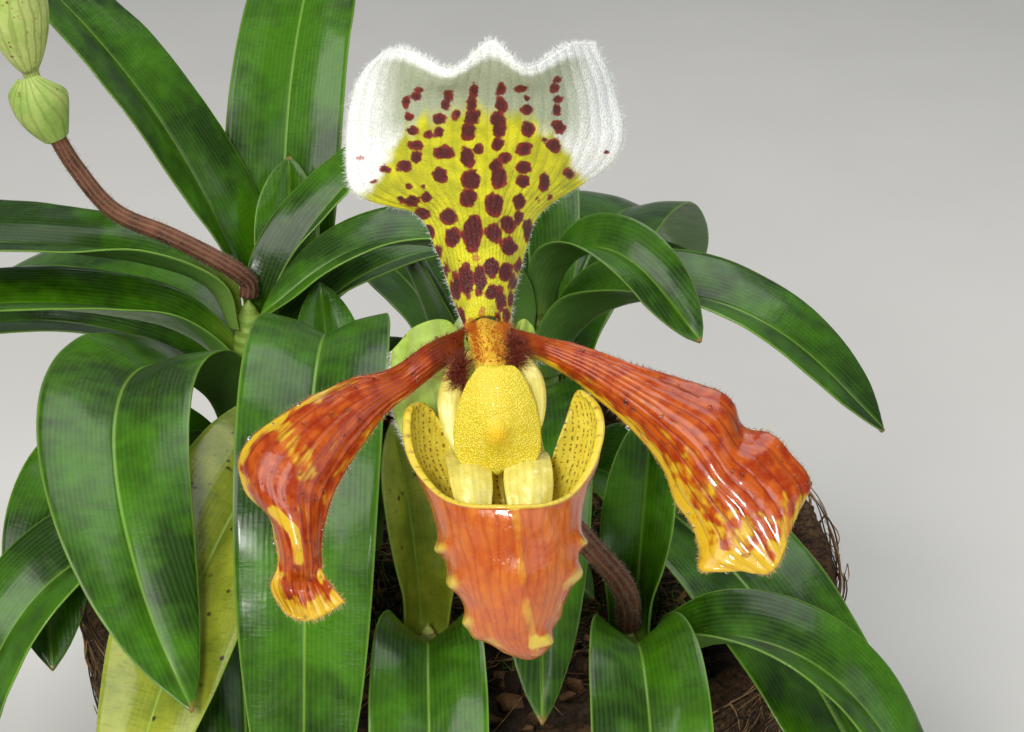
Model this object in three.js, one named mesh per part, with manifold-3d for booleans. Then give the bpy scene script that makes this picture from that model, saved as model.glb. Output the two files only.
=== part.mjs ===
// Potted slipper orchid: a clump of strap-leaved growths in a tree-fern fibre pot, with one open
// flower on its scape and one bud. Millimetres, +Z up. The origin is the centre of the pot's flat base,
// and the flower faces -Y.

import * as THREE from "three";
import Module from "manifold-3d";

const wasm = await Module();
wasm.setup();

const GAP = 0.3; // clearance between neighbouring pieces
const DEGREE = Math.PI / 180;

// Pot and its filling
const POT_HEIGHT = 150;
const POT_BASE_RADIUS = 82;
const POT_RIM_RADIUS = 104;
const POT_WALL = 11;
const POT_FLOOR = 15;
const POT_SIDES = 40;
const MEDIUM_RIM_HEIGHT = 138; // height of the filling beside the wall
const MEDIUM_CROWN = 9; // how much higher it is heaped in the middle
const LUMP_HEIGHT = 1.6;
const HOLE_DEPTH = 22; // how far a stem stands in the filling
const STEM_SIDES = 12;
const STALK_SIDES = 12;
const SCAPE_SIDES = 8;
const BRACT_THICKNESS = 0.8;

// Leaves
const LEAF_ROWS = 12;
const LEAF_COLUMNS = 5;
const LEAF_BASE_THICKNESS = 1.0;
const LEAF_MID_THICKNESS = 1.5;
const LEAF_EDGE_THICKNESS = 0.9;
const SHEATH_LENGTH = 24; // over which a leaf stays upright against its stem
const FIRST_LEAF = 1.5; // height of the lowest leaf of a growth above the filling
const STEM_TIP = 8; // the stem's length above its last leaf
const CLASP_ROOM = 0.45; // so that the straight facets of a sheath clear the stem
const STEM_TAPER = 0.66; // share of its radius that a stem loses by its top

// The flower: its own frame has x to the right and z up as it faces the viewer, y away from the viewer
const FLOWER_CENTRE = new THREE.Vector3(10, -145, 278);
const FLOWER_TILT = 25 * DEGREE; // the flower looks up by this much
const SEPAL_THICKNESS = 1.0;
const PETAL_THICKNESS = 1.1;
const PERIANTH_EDGE_THICKNESS = 0.7;
const POUCH_WALL = 1.2;
const POUCH_TOE = -63.5; // height of the lowest ring of the pouch
const POUCH_SIDES = 28;
const POUCH_LEVELS = 9;
const SHIELD_SIZE = [8.6, 10.2]; // half width and half height of the staminode
const SHIELD_THICKNESS = 1.4;
const SHIELD_POINTS = 9;

// Each growth: where its stem stands, its foot radius, the height from leaf to leaf, and its leaves from
// the lowest up. A leaf is [name, azimuth, turn, rise, droop, bend, length, width, twist]. Azimuth is
// counted from +X towards +Y and turn is how far the leaf swings sideways by its tip. Rise is its slope
// above the clasping base, droop is how far that slope falls, and bend is the share of the length by which
// it has fallen. Degrees and millimetres.
const GROWTHS = [
  { name: "left", x: -58, y: 34, radius: 9.5, spacing: 9, leaves: [
    ["hanging_left", 196, 84, 40, 96, 1.0, 118, 34, 0],
    ["inner", 16, 0, 44, 66, 1.0, 78, 26, 0],
    ["broad", 230, 73, 50, 86, 0.95, 190, 40, 0],
    ["right_rising", 34, -10, 50, 66, 1.0, 106, 32, 0],
    ["side", 186, 12, 20, 52, 1.0, 200, 32, 0],
    ["short", 36, -8, 64, 40, 1.0, 90, 24, 0],
    ["long", 178, 6, 12, 38, 1.0, 250, 42, 0],
  ] },
  { name: "front_left", x: -64, y: -16, radius: 7, spacing: 7, leaves: [
    ["hanging", 214, 10, 24, 92, 0.9, 118, 34, 0],
    ["low", 286, -12, 20, 70, 0.9, 120, 32, 0],
  ] },
  { name: "middle", x: -31, y: 2, radius: 9, spacing: 12, leaves: [
    ["low_right", 318, 0, 50, 80, 1.0, 100, 28, 0],
    ["inner", 104, 0, 80, 20, 1.0, 58, 24, 0],
    ["speckled", 252, -2, 20, 62, 0.9, 160, 38, 0],
    ["front", 270, -2, 64, 132, 0.8, 212, 36, 0],
  ] },
  { name: "back_left", x: -50, y: 59, radius: 8.5, spacing: 9, leaves: [
    ["back_low", 134, 12, 30, 84, 1.0, 235, 38, 0],
    ["side_low", 180, -10, 34, 74, 1.0, 180, 34, 0],
    ["erect_right", 100, -36, 74, 40, 1.0, 200, 36, 0],
    ["erect_left", 158, 8, 72, 40, 1.0, 205, 38, 0],
    ["back", 88, 0, 82, 14, 1.0, 56, 24, 0],
  ] },
  { name: "right", x: 22, y: 34, radius: 9.5, spacing: 9.5, leaves: [
    ["right_front", 303, 4, 12, 62, 1.0, 195, 42, 0],
    ["back_right", 76, -8, 36, 80, 1.0, 205, 38, 0],
    ["hanging_front", 270, 0, 30, 66, 1.0, 160, 28, 0],
    ["back", 94, 2, 50, 76, 1.0, 170, 34, 0],
    ["long_right", 344, -10, 36, 78, 1.0, 116, 36, 0],
    ["arching_left", 188, 10, 62, 100, 1.0, 95, 28, 0],
    ["arching_right", 316, 4, 70, 110, 0.9, 72, 22, 30],
  ] },
  { name: "front", x: 44, y: -66, radius: 6.5, spacing: 6, leaves: [
    ["right", 338, -4, 36, 96, 0.8, 125, 30, 0],
    ["hanging", 273, 0, 40, 104, 0.7, 140, 30, 0],
    ["erect", 70, 0, 84, 8, 1.0, 62, 22, 0],
  ] },
  { name: "young", x: -6, y: -62, radius: 6.5, spacing: 6, leaves: [
    ["hanging", 272, 0, 44, 112, 0.7, 130, 30, 0],
    ["yellow", 110, 20, 84, 12, 1.0, 58, 24, 0],
  ] },
  { name: "back", x: 4, y: 77, radius: 8.5, spacing: 9, leaves: [
    ["low_left", 112, 14, 26, 76, 1.0, 190, 36, 0],
    ["inner", 190, 0, 82, 14, 1.0, 60, 24, 0],
    ["low_right", 42, -10, 12, 60, 1.0, 180, 38, 0],
  ] },
];
const OLD_LEAVES = ["speckled", "yellow"];
const COLOURS = {
  fibre: 0x6b4a30, filling: 0x4d3521, stem: 0x6f8f35, leafOld: 0x9fb04a, leaf: 0x4f8a2c, scape: 0x5d3b33,
  bract: 0x8fae5a, ovary: 0x6d5a3c, sepal: 0xc9cf7a, synsepal: 0xbfce93, petal: 0xa8532a, pouch: 0xb0703a,
  column: 0xd9b53c, bud: 0xa9bf5f,
};

// A closed solid from points and triangles, with its faces turned outwards.
function solid(points, triangles) {
  const cross = new THREE.Vector3();
  let volume = 0;
  for (const [a, b, c] of triangles) volume += points[a].dot(cross.crossVectors(points[b], points[c]));
  const faces = volume < 0 ? triangles.map(([a, b, c]) => [a, c, b]) : triangles;
  const geometry = new THREE.BufferGeometry();
  const coordinates = points.flatMap((p) => p.toArray());
  geometry.setAttribute("position", new THREE.Float32BufferAttribute(coordinates, 3));
  geometry.setIndex(faces.flat());
  geometry.computeVertexNormals();
  return geometry;
}

// A closed solid through a run of rings with the same number of points; a ring of one point is a pole,
// and an open end is capped round its middle.
function loft(rings) {
  const points = [];
  const starts = rings.map((ring) => points.push(...ring) - ring.length);
  const sides = Math.max(...rings.map((ring) => ring.length));
  const triangles = [];
  const at = (k, j) => starts[k] + (rings[k].length === 1 ? 0 : j % sides);
  for (let k = 0; k + 1 < rings.length; k++) {
    for (let j = 0; j < sides; j++) {
      const [a, b, c, d] = [at(k, j), at(k, j + 1), at(k + 1, j + 1), at(k + 1, j)];
      if (a !== b) triangles.push([a, b, c]);
      if (c !== d) triangles.push([a, c, d]);
    }
  }
  for (const [k, turn] of [[0, 1], [rings.length - 1, 0]]) {
    if (rings[k].length === 1) continue;
    const middle = new THREE.Vector3();
    for (const p of rings[k]) middle.addScaledVector(p, 1 / sides);
    const centre = points.push(middle) - 1;
    for (let j = 0; j < sides; j++) triangles.push([centre, at(k, j + turn), at(k, j + 1 - turn)]);
  }
  return solid(points, triangles);
}

// The unit normals of a grid of points, from its neighbours along and across.
function gridNormals(grid) {
  const last = grid.length - 1;
  const side = grid[0].length - 1;
  return grid.map((row, i) => row.map((_, j) => {
    const along = grid[Math.min(i + 1, last)][j].clone().sub(grid[Math.max(i - 1, 0)][j]);
    const across = row[Math.min(j + 1, side)].clone().sub(row[Math.max(j - 1, 0)]);
    return along.cross(across).normalize();
  }));
}

// A sheet with a thickness: the grid moved half the thickness to each side along its normals, split into
// triangles alike on both faces and closed round its edge. thickness is a function of the place across,
// -1 to 1, and the place along, 0 to 1.
function thickSheet(grid, thickness) {
  const rows = grid.length;
  const columns = grid[0].length;
  const normals = gridNormals(grid);
  const points = [];
  for (const face of [1, -1]) {
    grid.forEach((row, i) => row.forEach((p, j) => {
      const half = thickness((2 * j) / (columns - 1) - 1, i / (rows - 1)) / 2;
      points.push(p.clone().addScaledVector(normals[i][j], face * half));
    }));
  }
  const triangles = [];
  const quad = (a, b, c, d) => triangles.push([a, b, c], [a, c, d]);
  const front = (i, j) => i * columns + j;
  const back = (i, j) => rows * columns + front(i, j);
  for (let i = 0; i + 1 < rows; i++) {
    for (let j = 0; j + 1 < columns; j++) {
      quad(front(i, j), front(i + 1, j), front(i + 1, j + 1), front(i, j + 1));
      triangles.push([back(i, j), back(i + 1, j + 1), back(i + 1, j)]);
      triangles.push([back(i, j), back(i, j + 1), back(i + 1, j + 1)]);
    }
    quad(front(i, 0), back(i, 0), back(i + 1, 0), front(i + 1, 0));
    quad(front(i + 1, columns - 1), back(i + 1, columns - 1), back(i, columns - 1), front(i, columns - 1));
  }
  for (let j = 0; j + 1 < columns; j++) {
    quad(front(0, j + 1), back(0, j + 1), back(0, j), front(0, j));
    quad(front(rows - 1, j), back(rows - 1, j), back(rows - 1, j + 1), front(rows - 1, j + 1));
  }
  return solid(points, triangles);
}

const place = (points) => points.map((p) => new THREE.Vector3(...p));
const smoothCurve = (points) => new THREE.CatmullRomCurve3(points, false, "catmullrom", 0.5);

// A grid of points on the smooth surface through a net of hand-set points: a curve along each column of
// the net, then a curve across through those.
function netGrid(net, rows, columns) {
  const guides = net[0].map((_, j) => smoothCurve(net.map((row) => new THREE.Vector3(...row[j]))));
  return Array.from({ length: rows }, (_, i) => {
    const across = smoothCurve(guides.map((guide) => guide.getPoint(i / (rows - 1))));
    return Array.from({ length: columns }, (_, j) => across.getPoint(j / (columns - 1)));
  });
}

// Rings of a round stalk along a curve; radius is a function of the way along, 0 to 1, and the angle.
function stalkRings(curve, steps, sides, radius) {
  const frames = curve.computeFrenetFrames(steps, false);
  return Array.from({ length: steps + 1 }, (_, i) => {
    const centre = curve.getPointAt(i / steps);
    return Array.from({ length: sides }, (_, j) => {
      const angle = (2 * Math.PI * j) / sides;
      const r = radius(i / steps, angle);
      return centre.clone().addScaledVector(frames.normals[i], r * Math.cos(angle))
        .addScaledVector(frames.binormals[i], r * Math.sin(angle));
    });
  });
}

function circle(x, y, z, radius, sides) {
  return Array.from({ length: sides }, (_, j) => {
    const angle = (2 * Math.PI * j) / sides;
    return new THREE.Vector3(x + radius * Math.cos(angle), y + radius * Math.sin(angle), z);
  });
}

function toManifold(geometry) {
  return new wasm.Manifold(new wasm.Mesh({
    numProp: 3,
    vertProperties: new Float32Array(geometry.getAttribute("position").array),
    triVerts: new Uint32Array(geometry.getIndex().array),
  }));
}

function fromManifold(body) {
  const mesh = body.getMesh();
  const geometry = new THREE.BufferGeometry();
  geometry.setAttribute("position", new THREE.Float32BufferAttribute(mesh.vertProperties, 3));
  geometry.setIndex([...mesh.triVerts]);
  geometry.computeVertexNormals();
  return geometry;
}

// The pot: a block of matted fibre with a flat base, a thick uneven wall and a rounded lip.
const potInnerRadius = (z) =>
  POT_BASE_RADIUS - POT_WALL + ((POT_RIM_RADIUS - POT_BASE_RADIUS) * z) / POT_HEIGHT;

function pot() {
  const outer = (z) => POT_BASE_RADIUS + ((POT_RIM_RADIUS - POT_BASE_RADIUS) * z) / POT_HEIGHT;
  const uneven = (z, angle) => 0.9 * Math.sin(9 * angle + z / 14) + 0.6 * Math.sin(17 * angle - z / 9);
  const ring = (z, radius, rough) =>
    circle(0, 0, z, radius, POT_SIDES).map((p, j) => {
      const swell = rough * uneven(z, (2 * Math.PI * j) / POT_SIDES);
      return new THREE.Vector3(p.x * (1 + swell / radius), p.y * (1 + swell / radius), z);
    });
  return loft([
    [new THREE.Vector3(0, 0, 0)],
    ring(0, POT_BASE_RADIUS - 3, 0),
    ring(4, outer(4), 1),
    ring(50, outer(50), 1),
    ring(98, outer(98), 1),
    ring(POT_HEIGHT - 6, outer(POT_HEIGHT - 6), 1),
    ring(POT_HEIGHT, outer(POT_HEIGHT) - 4, 0.5),
    ring(POT_HEIGHT, potInnerRadius(POT_HEIGHT) + 2, 0),
    ring(POT_HEIGHT - 5, potInnerRadius(POT_HEIGHT - 5), 0),
    ring(POT_FLOOR, potInnerRadius(POT_FLOOR), 0),
    [new THREE.Vector3(0, 0, POT_FLOOR)],
  ]);
}

// The filling: a heaped, lumpy top over a plain plug, with a hole for each stem.
const mediumHeight = (x, y) => {
  const reach = Math.hypot(x, y) / potInnerRadius(MEDIUM_RIM_HEIGHT);
  const lumps = LUMP_HEIGHT * Math.sin(x / 7 + 1.3 * Math.sin(y / 9)) * Math.cos(y / 6 - x / 19);
  return MEDIUM_RIM_HEIGHT + MEDIUM_CROWN * (1 - reach * reach) + lumps * (1 - reach ** 6);
};

function growingMedium() {
  const rimRadius = potInnerRadius(MEDIUM_RIM_HEIGHT) - GAP;
  const bottom = POT_FLOOR + GAP;
  const top = (share) => circle(0, 0, 0, rimRadius * share, POT_SIDES)
    .map((p) => new THREE.Vector3(p.x, p.y, mediumHeight(p.x, p.y)));
  let body = toManifold(loft([
    [new THREE.Vector3(0, 0, bottom)],
    circle(0, 0, bottom, potInnerRadius(bottom) - GAP, POT_SIDES),
    top(1), top(0.82), top(0.6), top(0.38), top(0.18),
    [new THREE.Vector3(0, 0, mediumHeight(0, 0))],
  ]));
  for (const growth of GROWTHS) {
    const floor = MEDIUM_RIM_HEIGHT - HOLE_DEPTH;
    const hole = loft([
      circle(growth.x, growth.y, floor, growth.radius + GAP, STEM_SIDES),
      circle(growth.x, growth.y, MEDIUM_RIM_HEIGHT + 3 * MEDIUM_CROWN, growth.radius + GAP, STEM_SIDES),
    ]);
    body = body.subtract(toManifold(hole));
  }
  return fromManifold(body);
}

// Each growth starts on the heaped filling and ends a little above its last leaf.
for (const growth of GROWTHS) {
  growth.foot = mediumHeight(growth.x, growth.y) + LUMP_HEIGHT;
  growth.height = FIRST_LEAF + growth.spacing * (growth.leaves.length - 1) + STEM_TIP;
}

// The stem of a growth: stout at the filling and slimmer at the top.
const stemRadius = (growth, height) =>
  growth.radius * (1 - STEM_TAPER * Math.max(0, Math.min(1, height / growth.height)));

function stem(growth) {
  const bottom = MEDIUM_RIM_HEIGHT - HOLE_DEPTH + GAP - growth.foot;
  const heights = [bottom, 0, growth.height * 0.5, growth.height];
  return loft(heights.map((height) =>
    circle(growth.x, growth.y, growth.foot + height, stemRadius(growth, height), STEM_SIDES)));
}

const smoothStep = (from, to, x) => THREE.MathUtils.smoothstep(x, from, to);

// One strap leaf. Its spine leaves the stem steeply, bends to its rise and droops to the tip. Across, it is
// an arc round the stem at the base, then a closed V that opens into a shallow channel with falling edges.
function leaf(growth, index) {
  const [, azimuth, turn, rise, droop, bend, length, width, twist] = growth.leaves[index];
  const height = FIRST_LEAF + growth.spacing * index;
  const clasp = stemRadius(growth, height) + GAP + LEAF_BASE_THICKNESS / 2 + CLASP_ROOM;
  const claspHalf = 1.15 * clasp;
  const spine = new THREE.Vector3(growth.x, growth.y, growth.foot + height);
  spine.x += clasp * Math.cos(azimuth * DEGREE);
  spine.y += clasp * Math.sin(azimuth * DEGREE);
  const grid = [];
  let before = 0;
  for (let i = 0; i < LEAF_ROWS; i++) {
    const share = (i / (LEAF_ROWS - 1)) ** 1.2;
    const run = share * length;
    const upright = Math.exp(-((run / SHEATH_LENGTH) ** 2));
    const slope = (rise + (84 - rise) * upright - droop * smoothStep(0.02, bend, share)) * DEGREE;
    const heading = (azimuth + turn * share) * DEGREE;
    const ahead = new THREE.Vector3(
      Math.cos(slope) * Math.cos(heading), Math.cos(slope) * Math.sin(heading), Math.sin(slope));
    const side = new THREE.Vector3(-Math.sin(heading), Math.cos(heading), 0);
    const inward = ahead.clone().cross(side);
    side.applyAxisAngle(ahead, twist * share * DEGREE);
    inward.applyAxisAngle(ahead, twist * share * DEGREE);
    spine.addScaledVector(ahead, run - before);
    before = run;
    const swell = Math.sin((Math.PI / 2) * Math.min(1, share / 0.4));
    const taper = (1 - share ** 5) ** 0.8;
    const half = Math.max(1.4, (claspHalf + (width / 2 - claspHalf) * swell) * taper);
    const fold = (13 + 40 * Math.exp(-run / 45)) * DEGREE;
    grid.push(leafSection(spine, side, inward, half, upright, clasp, fold));
  }
  return thickSheet(grid, (across, share) => {
    const middle = LEAF_BASE_THICKNESS
      + (LEAF_MID_THICKNESS - LEAF_BASE_THICKNESS) * smoothStep(0.05, 0.25, share);
    return middle + (LEAF_EDGE_THICKNESS - middle) * Math.abs(across);
  });
}

// The points of one section of a leaf, from edge to edge: the slope across is the arc's near the stem, and
// the fold less a little droop of the edge further out.
function leafSection(spine, side, inward, half, upright, clasp, fold) {
  const steps = (LEAF_COLUMNS - 1) / 2;
  const points = [spine.clone()];
  for (const hand of [-1, 1]) {
    const place = spine.clone();
    for (let k = 0; k < steps; k++) {
      const out = ((k + 0.5) / steps) * half;
      const lean = upright * (out / clasp) + (1 - upright) * (fold - 0.3 * (out / half) ** 2);
      place.addScaledVector(side, (hand * Math.cos(lean) * half) / steps);
      place.addScaledVector(inward, (Math.sin(lean) * half) / steps);
      if (hand < 0) points.unshift(place.clone());
      else points.push(place.clone());
    }
  }
  return points;
}

// Flower parts, in the flower's own frame. Each net runs from the base of the part to its far edge, and
// each row from the viewer's left to right, or from the upper margin to the lower on a petal.
const DORSAL_SEPAL_NET = [
  [[-4.4, 8, 1], [-3.4, 7.2, 1.9], [-1.8, 6.6, 3], [0, 6.4, 3.3],
    [1.8, 6.6, 3], [3.2, 7.2, 1.9], [4.2, 8, 1]],
  [[-7.6, 10, 9], [-5.6, 7, 9.4], [-3, 5.6, 9.6], [0, 5, 9.8],
    [2.2, 5.6, 9.6], [4, 7, 9.4], [5.6, 10, 9]],
  [[-10.2, 10, 17], [-7.2, 6, 17.4], [-3.8, 3.6, 17.6], [-0.3, 3, 17.8],
    [2.6, 3.6, 17.6], [5.4, 6, 17.4], [7.8, 10, 17]],
  [[-14.8, 9, 24.4], [-10, 4, 24.6], [-5.2, 1, 24.6], [-0.3, 0, 24.8],
    [3.6, 1, 24.6], [7.4, 4, 24.6], [11, 9, 24.8]],
  [[-27, 8, 28.6], [-17.4, 1, 31], [-8.4, -3, 31.8], [0, -4, 32.2],
    [7, -3, 32], [14.6, 1, 32], [23.4, 7, 32.6]],
  [[-28.5, 6, 38.8], [-18.3, -4, 38.6], [-8.9, -8, 38.8], [0.2, -9, 39],
    [8.5, -8, 39], [17.9, -4, 38.9], [27.4, 4, 38.7]],
  [[-27.6, 3, 46.7], [-17.7, -8, 46], [-8.6, -13, 45.6], [0.6, -15, 45.6],
    [9, -13, 45.8], [17.7, -8, 46], [26.4, 2, 47]],
  [[-25, 0, 52], [-16.6, -12, 51.2], [-7.6, -18, 48], [1, -21, 50.6],
    [8.2, -18, 48.4], [16.2, -12, 51.5], [24.4, -1, 52.4]],
  [[-21.3, -2, 55.4], [-15.4, -13, 54.8], [-6.4, -21, 50.2], [1.1, -25, 55],
    [7.6, -21, 50.6], [15.2, -13, 55.2], [21.9, -3, 57]],
];
const SYNSEPAL_NET = [
  [[-19.6, 14, -3.6], [-15, 12.4, 1.2], [-9.5, 11, 2.8], [-5.8, 10.4, 0.6], [0, 10.4, -6.4],
    [5, 10.6, 0.2], [7.2, 11.2, 2.8], [9, 12.6, 1.6], [10.4, 14, -2.6]],
  [[-20, 13, -9], [-15.6, 11.6, -6], [-10, 10.8, -5], [-5, 10.4, -7.4], [0, 10.2, -10],
    [3.2, 10.4, -7.4], [5.6, 10.8, -5.4], [7.8, 11.6, -6.6], [9.4, 13, -9]],
  [[-19.4, 12, -16], [-15, 10.6, -15.4], [-10, 10, -15.4], [-5, 9.6, -16], [0, 9.2, -16.6],
    [2.8, 9.6, -16], [5, 10, -15.4], [7, 10.6, -15.6], [8.8, 12, -16.4]],
  [[-15.6, 10.4, -25], [-12, 9.6, -25.4], [-8, 9, -25.8], [-4, 8.6, -26], [0, 8.2, -26],
    [2.4, 8.6, -26], [4.4, 9, -25.8], [6.4, 9.6, -25.4], [8, 10.4, -25]],
  [[-8.6, 7.6, -37], [-7, 7.6, -39], [-5, 7.4, -39.6], [-2.4, 7.2, -38], [0, 7, -36],
    [1.8, 7.2, -38], [3.4, 7.4, -39.4], [5, 7.6, -38.6], [6.4, 7.6, -37]],
];
const PETAL_LEFT_NET = [
  [[-4.6, 5, 0.8], [-4.8, 4.4, -0.4], [-4.9, 4, -1.6], [-4.8, 4.4, -2.8], [-4.6, 5, -4]],
  [[-12.4, -1, -2.8], [-11.8, -2, -4], [-11, -2.6, -5.2], [-10.2, -2.4, -6.4], [-9.4, -1.6, -7.6]],
  [[-19, -5.4, -7.4], [-18, -4, -8.6], [-17.2, -4, -9.8], [-16.2, -3.6, -11], [-15.2, -2.6, -12.2]],
  [[-29.2, -4, -9.9], [-27, -7, -11.4], [-24.8, -7.4, -13.4], [-22.6, -6.6, -15.2], [-20.6, -5, -16.8]],
  [[-36.9, -8, -14], [-34, -10, -15.8], [-30.4, -10.4, -18], [-27.4, -9.4, -20.2], [-24.6, -7, -22.3]],
  [[-44.4, -7, -19.9], [-40.4, -12, -21.8], [-35.5, -13.4, -24], [-31.6, -12, -26.2], [-28.3, -9, -28.1]],
  [[-49.2, -9, -26.4], [-44.6, -14, -28.2], [-38.8, -15.6, -30], [-34.2, -14, -31.8], [-30.5, -11, -33.3]],
  [[-44.6, -10, -34], [-41.6, -15, -35.2], [-37.6, -17, -36.6], [-34.4, -15.4, -38.2], [-32, -12, -39.6]],
  [[-40.4, -12, -42.2], [-38.6, -16, -42.8], [-36, -17.4, -43.3], [-34, -16, -43.9], [-32.2, -13, -44.4]],
  [[-41.4, -16, -49.6], [-39, -14, -50.2], [-36, -13.2, -50.2], [-33.4, -14, -49], [-31.2, -16, -47.5]],
  [[-38.8, -18, -54.2], [-36.8, -17, -55.6], [-34, -16.4, -56], [-30.6, -17, -54.6], [-27.2, -18, -52.2]],
];
const PETAL_RIGHT_NET = [
  [[4.6, 5, 0.8], [4.8, 4.4, -0.4], [4.9, 4, -1.6], [4.8, 4.4, -2.8], [4.6, 5, -4]],
  [[11.8, -1, -1.2], [11.8, -2.4, -2.4], [11.8, -3, -3.6], [11.8, -2.8, -5], [11.8, -2, -6.2]],
  [[20, -3, -3.2], [20.4, -5.4, -5.2], [20.6, -6.4, -7.6], [20.6, -6, -9.8], [20.6, -4, -12]],
  [[29.6, -7, -7.1], [29.6, -9, -10], [29.4, -9.6, -13.2], [29, -8.8, -16.4], [28.6, -6, -19.4]],
  [[38.1, -6, -9.3], [37, -11, -13.4], [35.7, -12.6, -17.8], [34.8, -11.4, -22], [34, -8, -26.2]],
  [[45.5, -9, -11.4], [43.4, -13.6, -16.6], [40.9, -15.6, -22.3], [38.6, -14, -27.8], [36.7, -10, -32.9]],
  [[50.9, -8, -18.2], [48.4, -15, -23], [45.4, -17.4, -28.6], [42.4, -16, -33.4], [39.8, -12, -37.5]],
  [[58.2, -13, -22.1], [54, -17, -27.4], [49.7, -18.6, -33], [45.4, -17.6, -38], [41.4, -14, -42.4]],
  [[62.7, -14, -29.5], [58, -19, -33.6], [53.2, -19.6, -38.2], [47.4, -19, -42.6], [41.6, -18, -46.4]],
  [[60.5, -17, -33.6], [58.4, -19, -38.4], [56.3, -21, -44.4], [53.4, -20, -46.8], [48.6, -19, -45.4]],
];

// The pouch at a height of its own frame: [height, half width, middle x, front y, back y].
const POUCH_PROFILE = [
  [-64, 0.4, 8.4, -14, -13], [-62.6, 4, 7.2, -17.5, -9.5], [-59.5, 6.8, 5.6, -20.4, -6.4],
  [-55, 8.8, 5.3, -23.4, -4], [-48.5, 11.9, 5.2, -26.6, -2], [-41, 13.5, 4.7, -28, -0.6],
  [-33, 15, 3.8, -28.4, 1], [-25, 18.6, 3.3, -26.4, 2.6], [-17, 19.6, 3.3, -22, 4.6],
  [-10, 17.6, 2.6, -17, 6], [-5, 14, 1, -12, 7],
];
// Height of the pouch's rim round its mouth: [angle, height], from the front, past an ear, to the back.
const POUCH_RIM = [
  [0, -33], [35, -32.6], [58, -30.5], [72, -26.5], [84, -20.5], [96, -15], [108, -13.6], [120, -17],
  [132, -24], [146, -27], [160, -18], [172, -7], [180, -5.6],
];

// The way down the middle of the column, the ovary and their bracts.
const COLUMN_AXIS = [[0, 9.7, -1], [0, 5, -1.2], [0.6, -1, -4], [1.4, -7.4, -9.5], [2, -12.8, -15.4]];
const OVARY_AXIS = [[0, 10, -1], [0, 26, -1.6], [0, 42, -2.6], [0, 56, -4.6]];

// A value read off a short table by a smooth curve through its entries.
function along(table, column, place) {
  let k = 0;
  while (k < table.length - 2 && place > table[k + 1][0]) k++;
  const at = (n) => table[Math.max(0, Math.min(table.length - 1, n))];
  const [before, from, to, after] = [at(k - 1), at(k), at(k + 1), at(k + 2)];
  const step = to[0] - from[0];
  const t = (place - from[0]) / step;
  const slopeFrom = ((to[column] - before[column]) / (to[0] - before[0])) * step;
  const slopeTo = ((after[column] - from[column]) / (after[0] - from[0])) * step;
  const [t2, t3] = [t * t, t * t * t];
  return (2 * t3 - 3 * t2 + 1) * from[column] + (t3 - 2 * t2 + t) * slopeFrom
    + (3 * t2 - 2 * t3) * to[column] + (t3 - t2) * slopeTo;
}

// The pouch: level rings from the toe up, each wall running on to its own rim height, then the same
// surface again inside, a wall's thickness in.
function pouch() {
  const surface = (inset, toe) => Array.from({ length: POUCH_LEVELS }, (_, i) =>
    Array.from({ length: POUCH_SIDES }, (_, j) => {
      const angle = (360 * j) / POUCH_SIDES;
      const rim = along(POUCH_RIM, 1, angle > 180 ? 360 - angle : angle);
      const height = toe + (rim - toe) * (i / (POUCH_LEVELS - 1)) ** 1.35;
      const [half, middle, front, back] = [1, 2, 3, 4].map((c) => along(POUCH_PROFILE, c, height));
      const depth = (back - front) / 2;
      return new THREE.Vector3(
        middle + (half - inset) * Math.sin(angle * DEGREE),
        (front + back) / 2 - (depth - inset) * Math.cos(angle * DEGREE), height);
    }));
  const outer = surface(0, POUCH_TOE);
  const inner = surface(POUCH_WALL, POUCH_TOE + POUCH_WALL);
  return loft([...outer, ...inner.reverse()]);
}

// The column: a short stout rod from the ovary down to the back of the shield-shaped staminode, joined
// with the shield, which is dished, narrower below, and has a raised boss in its middle.
function column() {
  const axis = smoothCurve(place(COLUMN_AXIS));
  const rod = loft(stalkRings(axis, 6, STALK_SIDES, (way) => 3.9 - 0.8 * way));
  const spread = (k) => (2 * k) / (SHIELD_POINTS - 1) - 1;
  const row = (i) => Array.from({ length: SHIELD_POINTS }, (_, j) => {
    const [a, b] = [spread(j), spread(i)];
    const [u, v] = [a * Math.sqrt(1 - (b * b) / 2), b * Math.sqrt(1 - (a * a) / 2)];
    const boss = 1.8 * Math.exp(-((u * u + (v + 0.28) ** 2) / 0.05));
    const half = SHIELD_SIZE[0] * (1 - 0.22 * Math.max(0, v));
    const dish = 3 * (u * u + v * v) - 2 * v;
    return new THREE.Vector3(2.1 + half * u, -14.6 + dish - boss, -17 + SHIELD_SIZE[1] * v);
  });
  const grid = Array.from({ length: SHIELD_POINTS }, (_, i) => row(i));
  return fromManifold(toManifold(rod).add(toManifold(thickSheet(grid, () => SHIELD_THICKNESS))));
}

// The ovary: six-ribbed, straight back from the flower.
function ovary() {
  const ribs = (way, angle) =>
    (2.6 + 1.5 * Math.sin(Math.PI * (0.15 + 0.75 * way))) * (1 + 0.1 * Math.cos(6 * angle));
  return loft(stalkRings(smoothCurve(place(OVARY_AXIS)), 8, STALK_SIDES, ribs));
}

// A bract: a sheet folded round the stalk, open along its upper side and drawn out to a point.
function bract(axis, radius, rows) {
  const frames = axis.computeFrenetFrames(rows - 1, false);
  const grid = Array.from({ length: rows }, (_, i) => {
    const way = i / (rows - 1);
    const reach = Math.PI * (0.86 - 0.7 * way ** 1.6);
    const spread = radius * (0.64 + 0.9 * Math.sin(Math.PI * way * 0.8));
    const centre = axis.getPointAt(way);
    return Array.from({ length: 7 }, (_, j) => {
      const angle = reach * (j / 3 - 1);
      return centre.clone().addScaledVector(frames.normals[i], spread * Math.cos(angle))
        .addScaledVector(frames.binormals[i], spread * Math.sin(angle));
    });
  });
  return thickSheet(grid, () => BRACT_THICKNESS);
}

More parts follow.
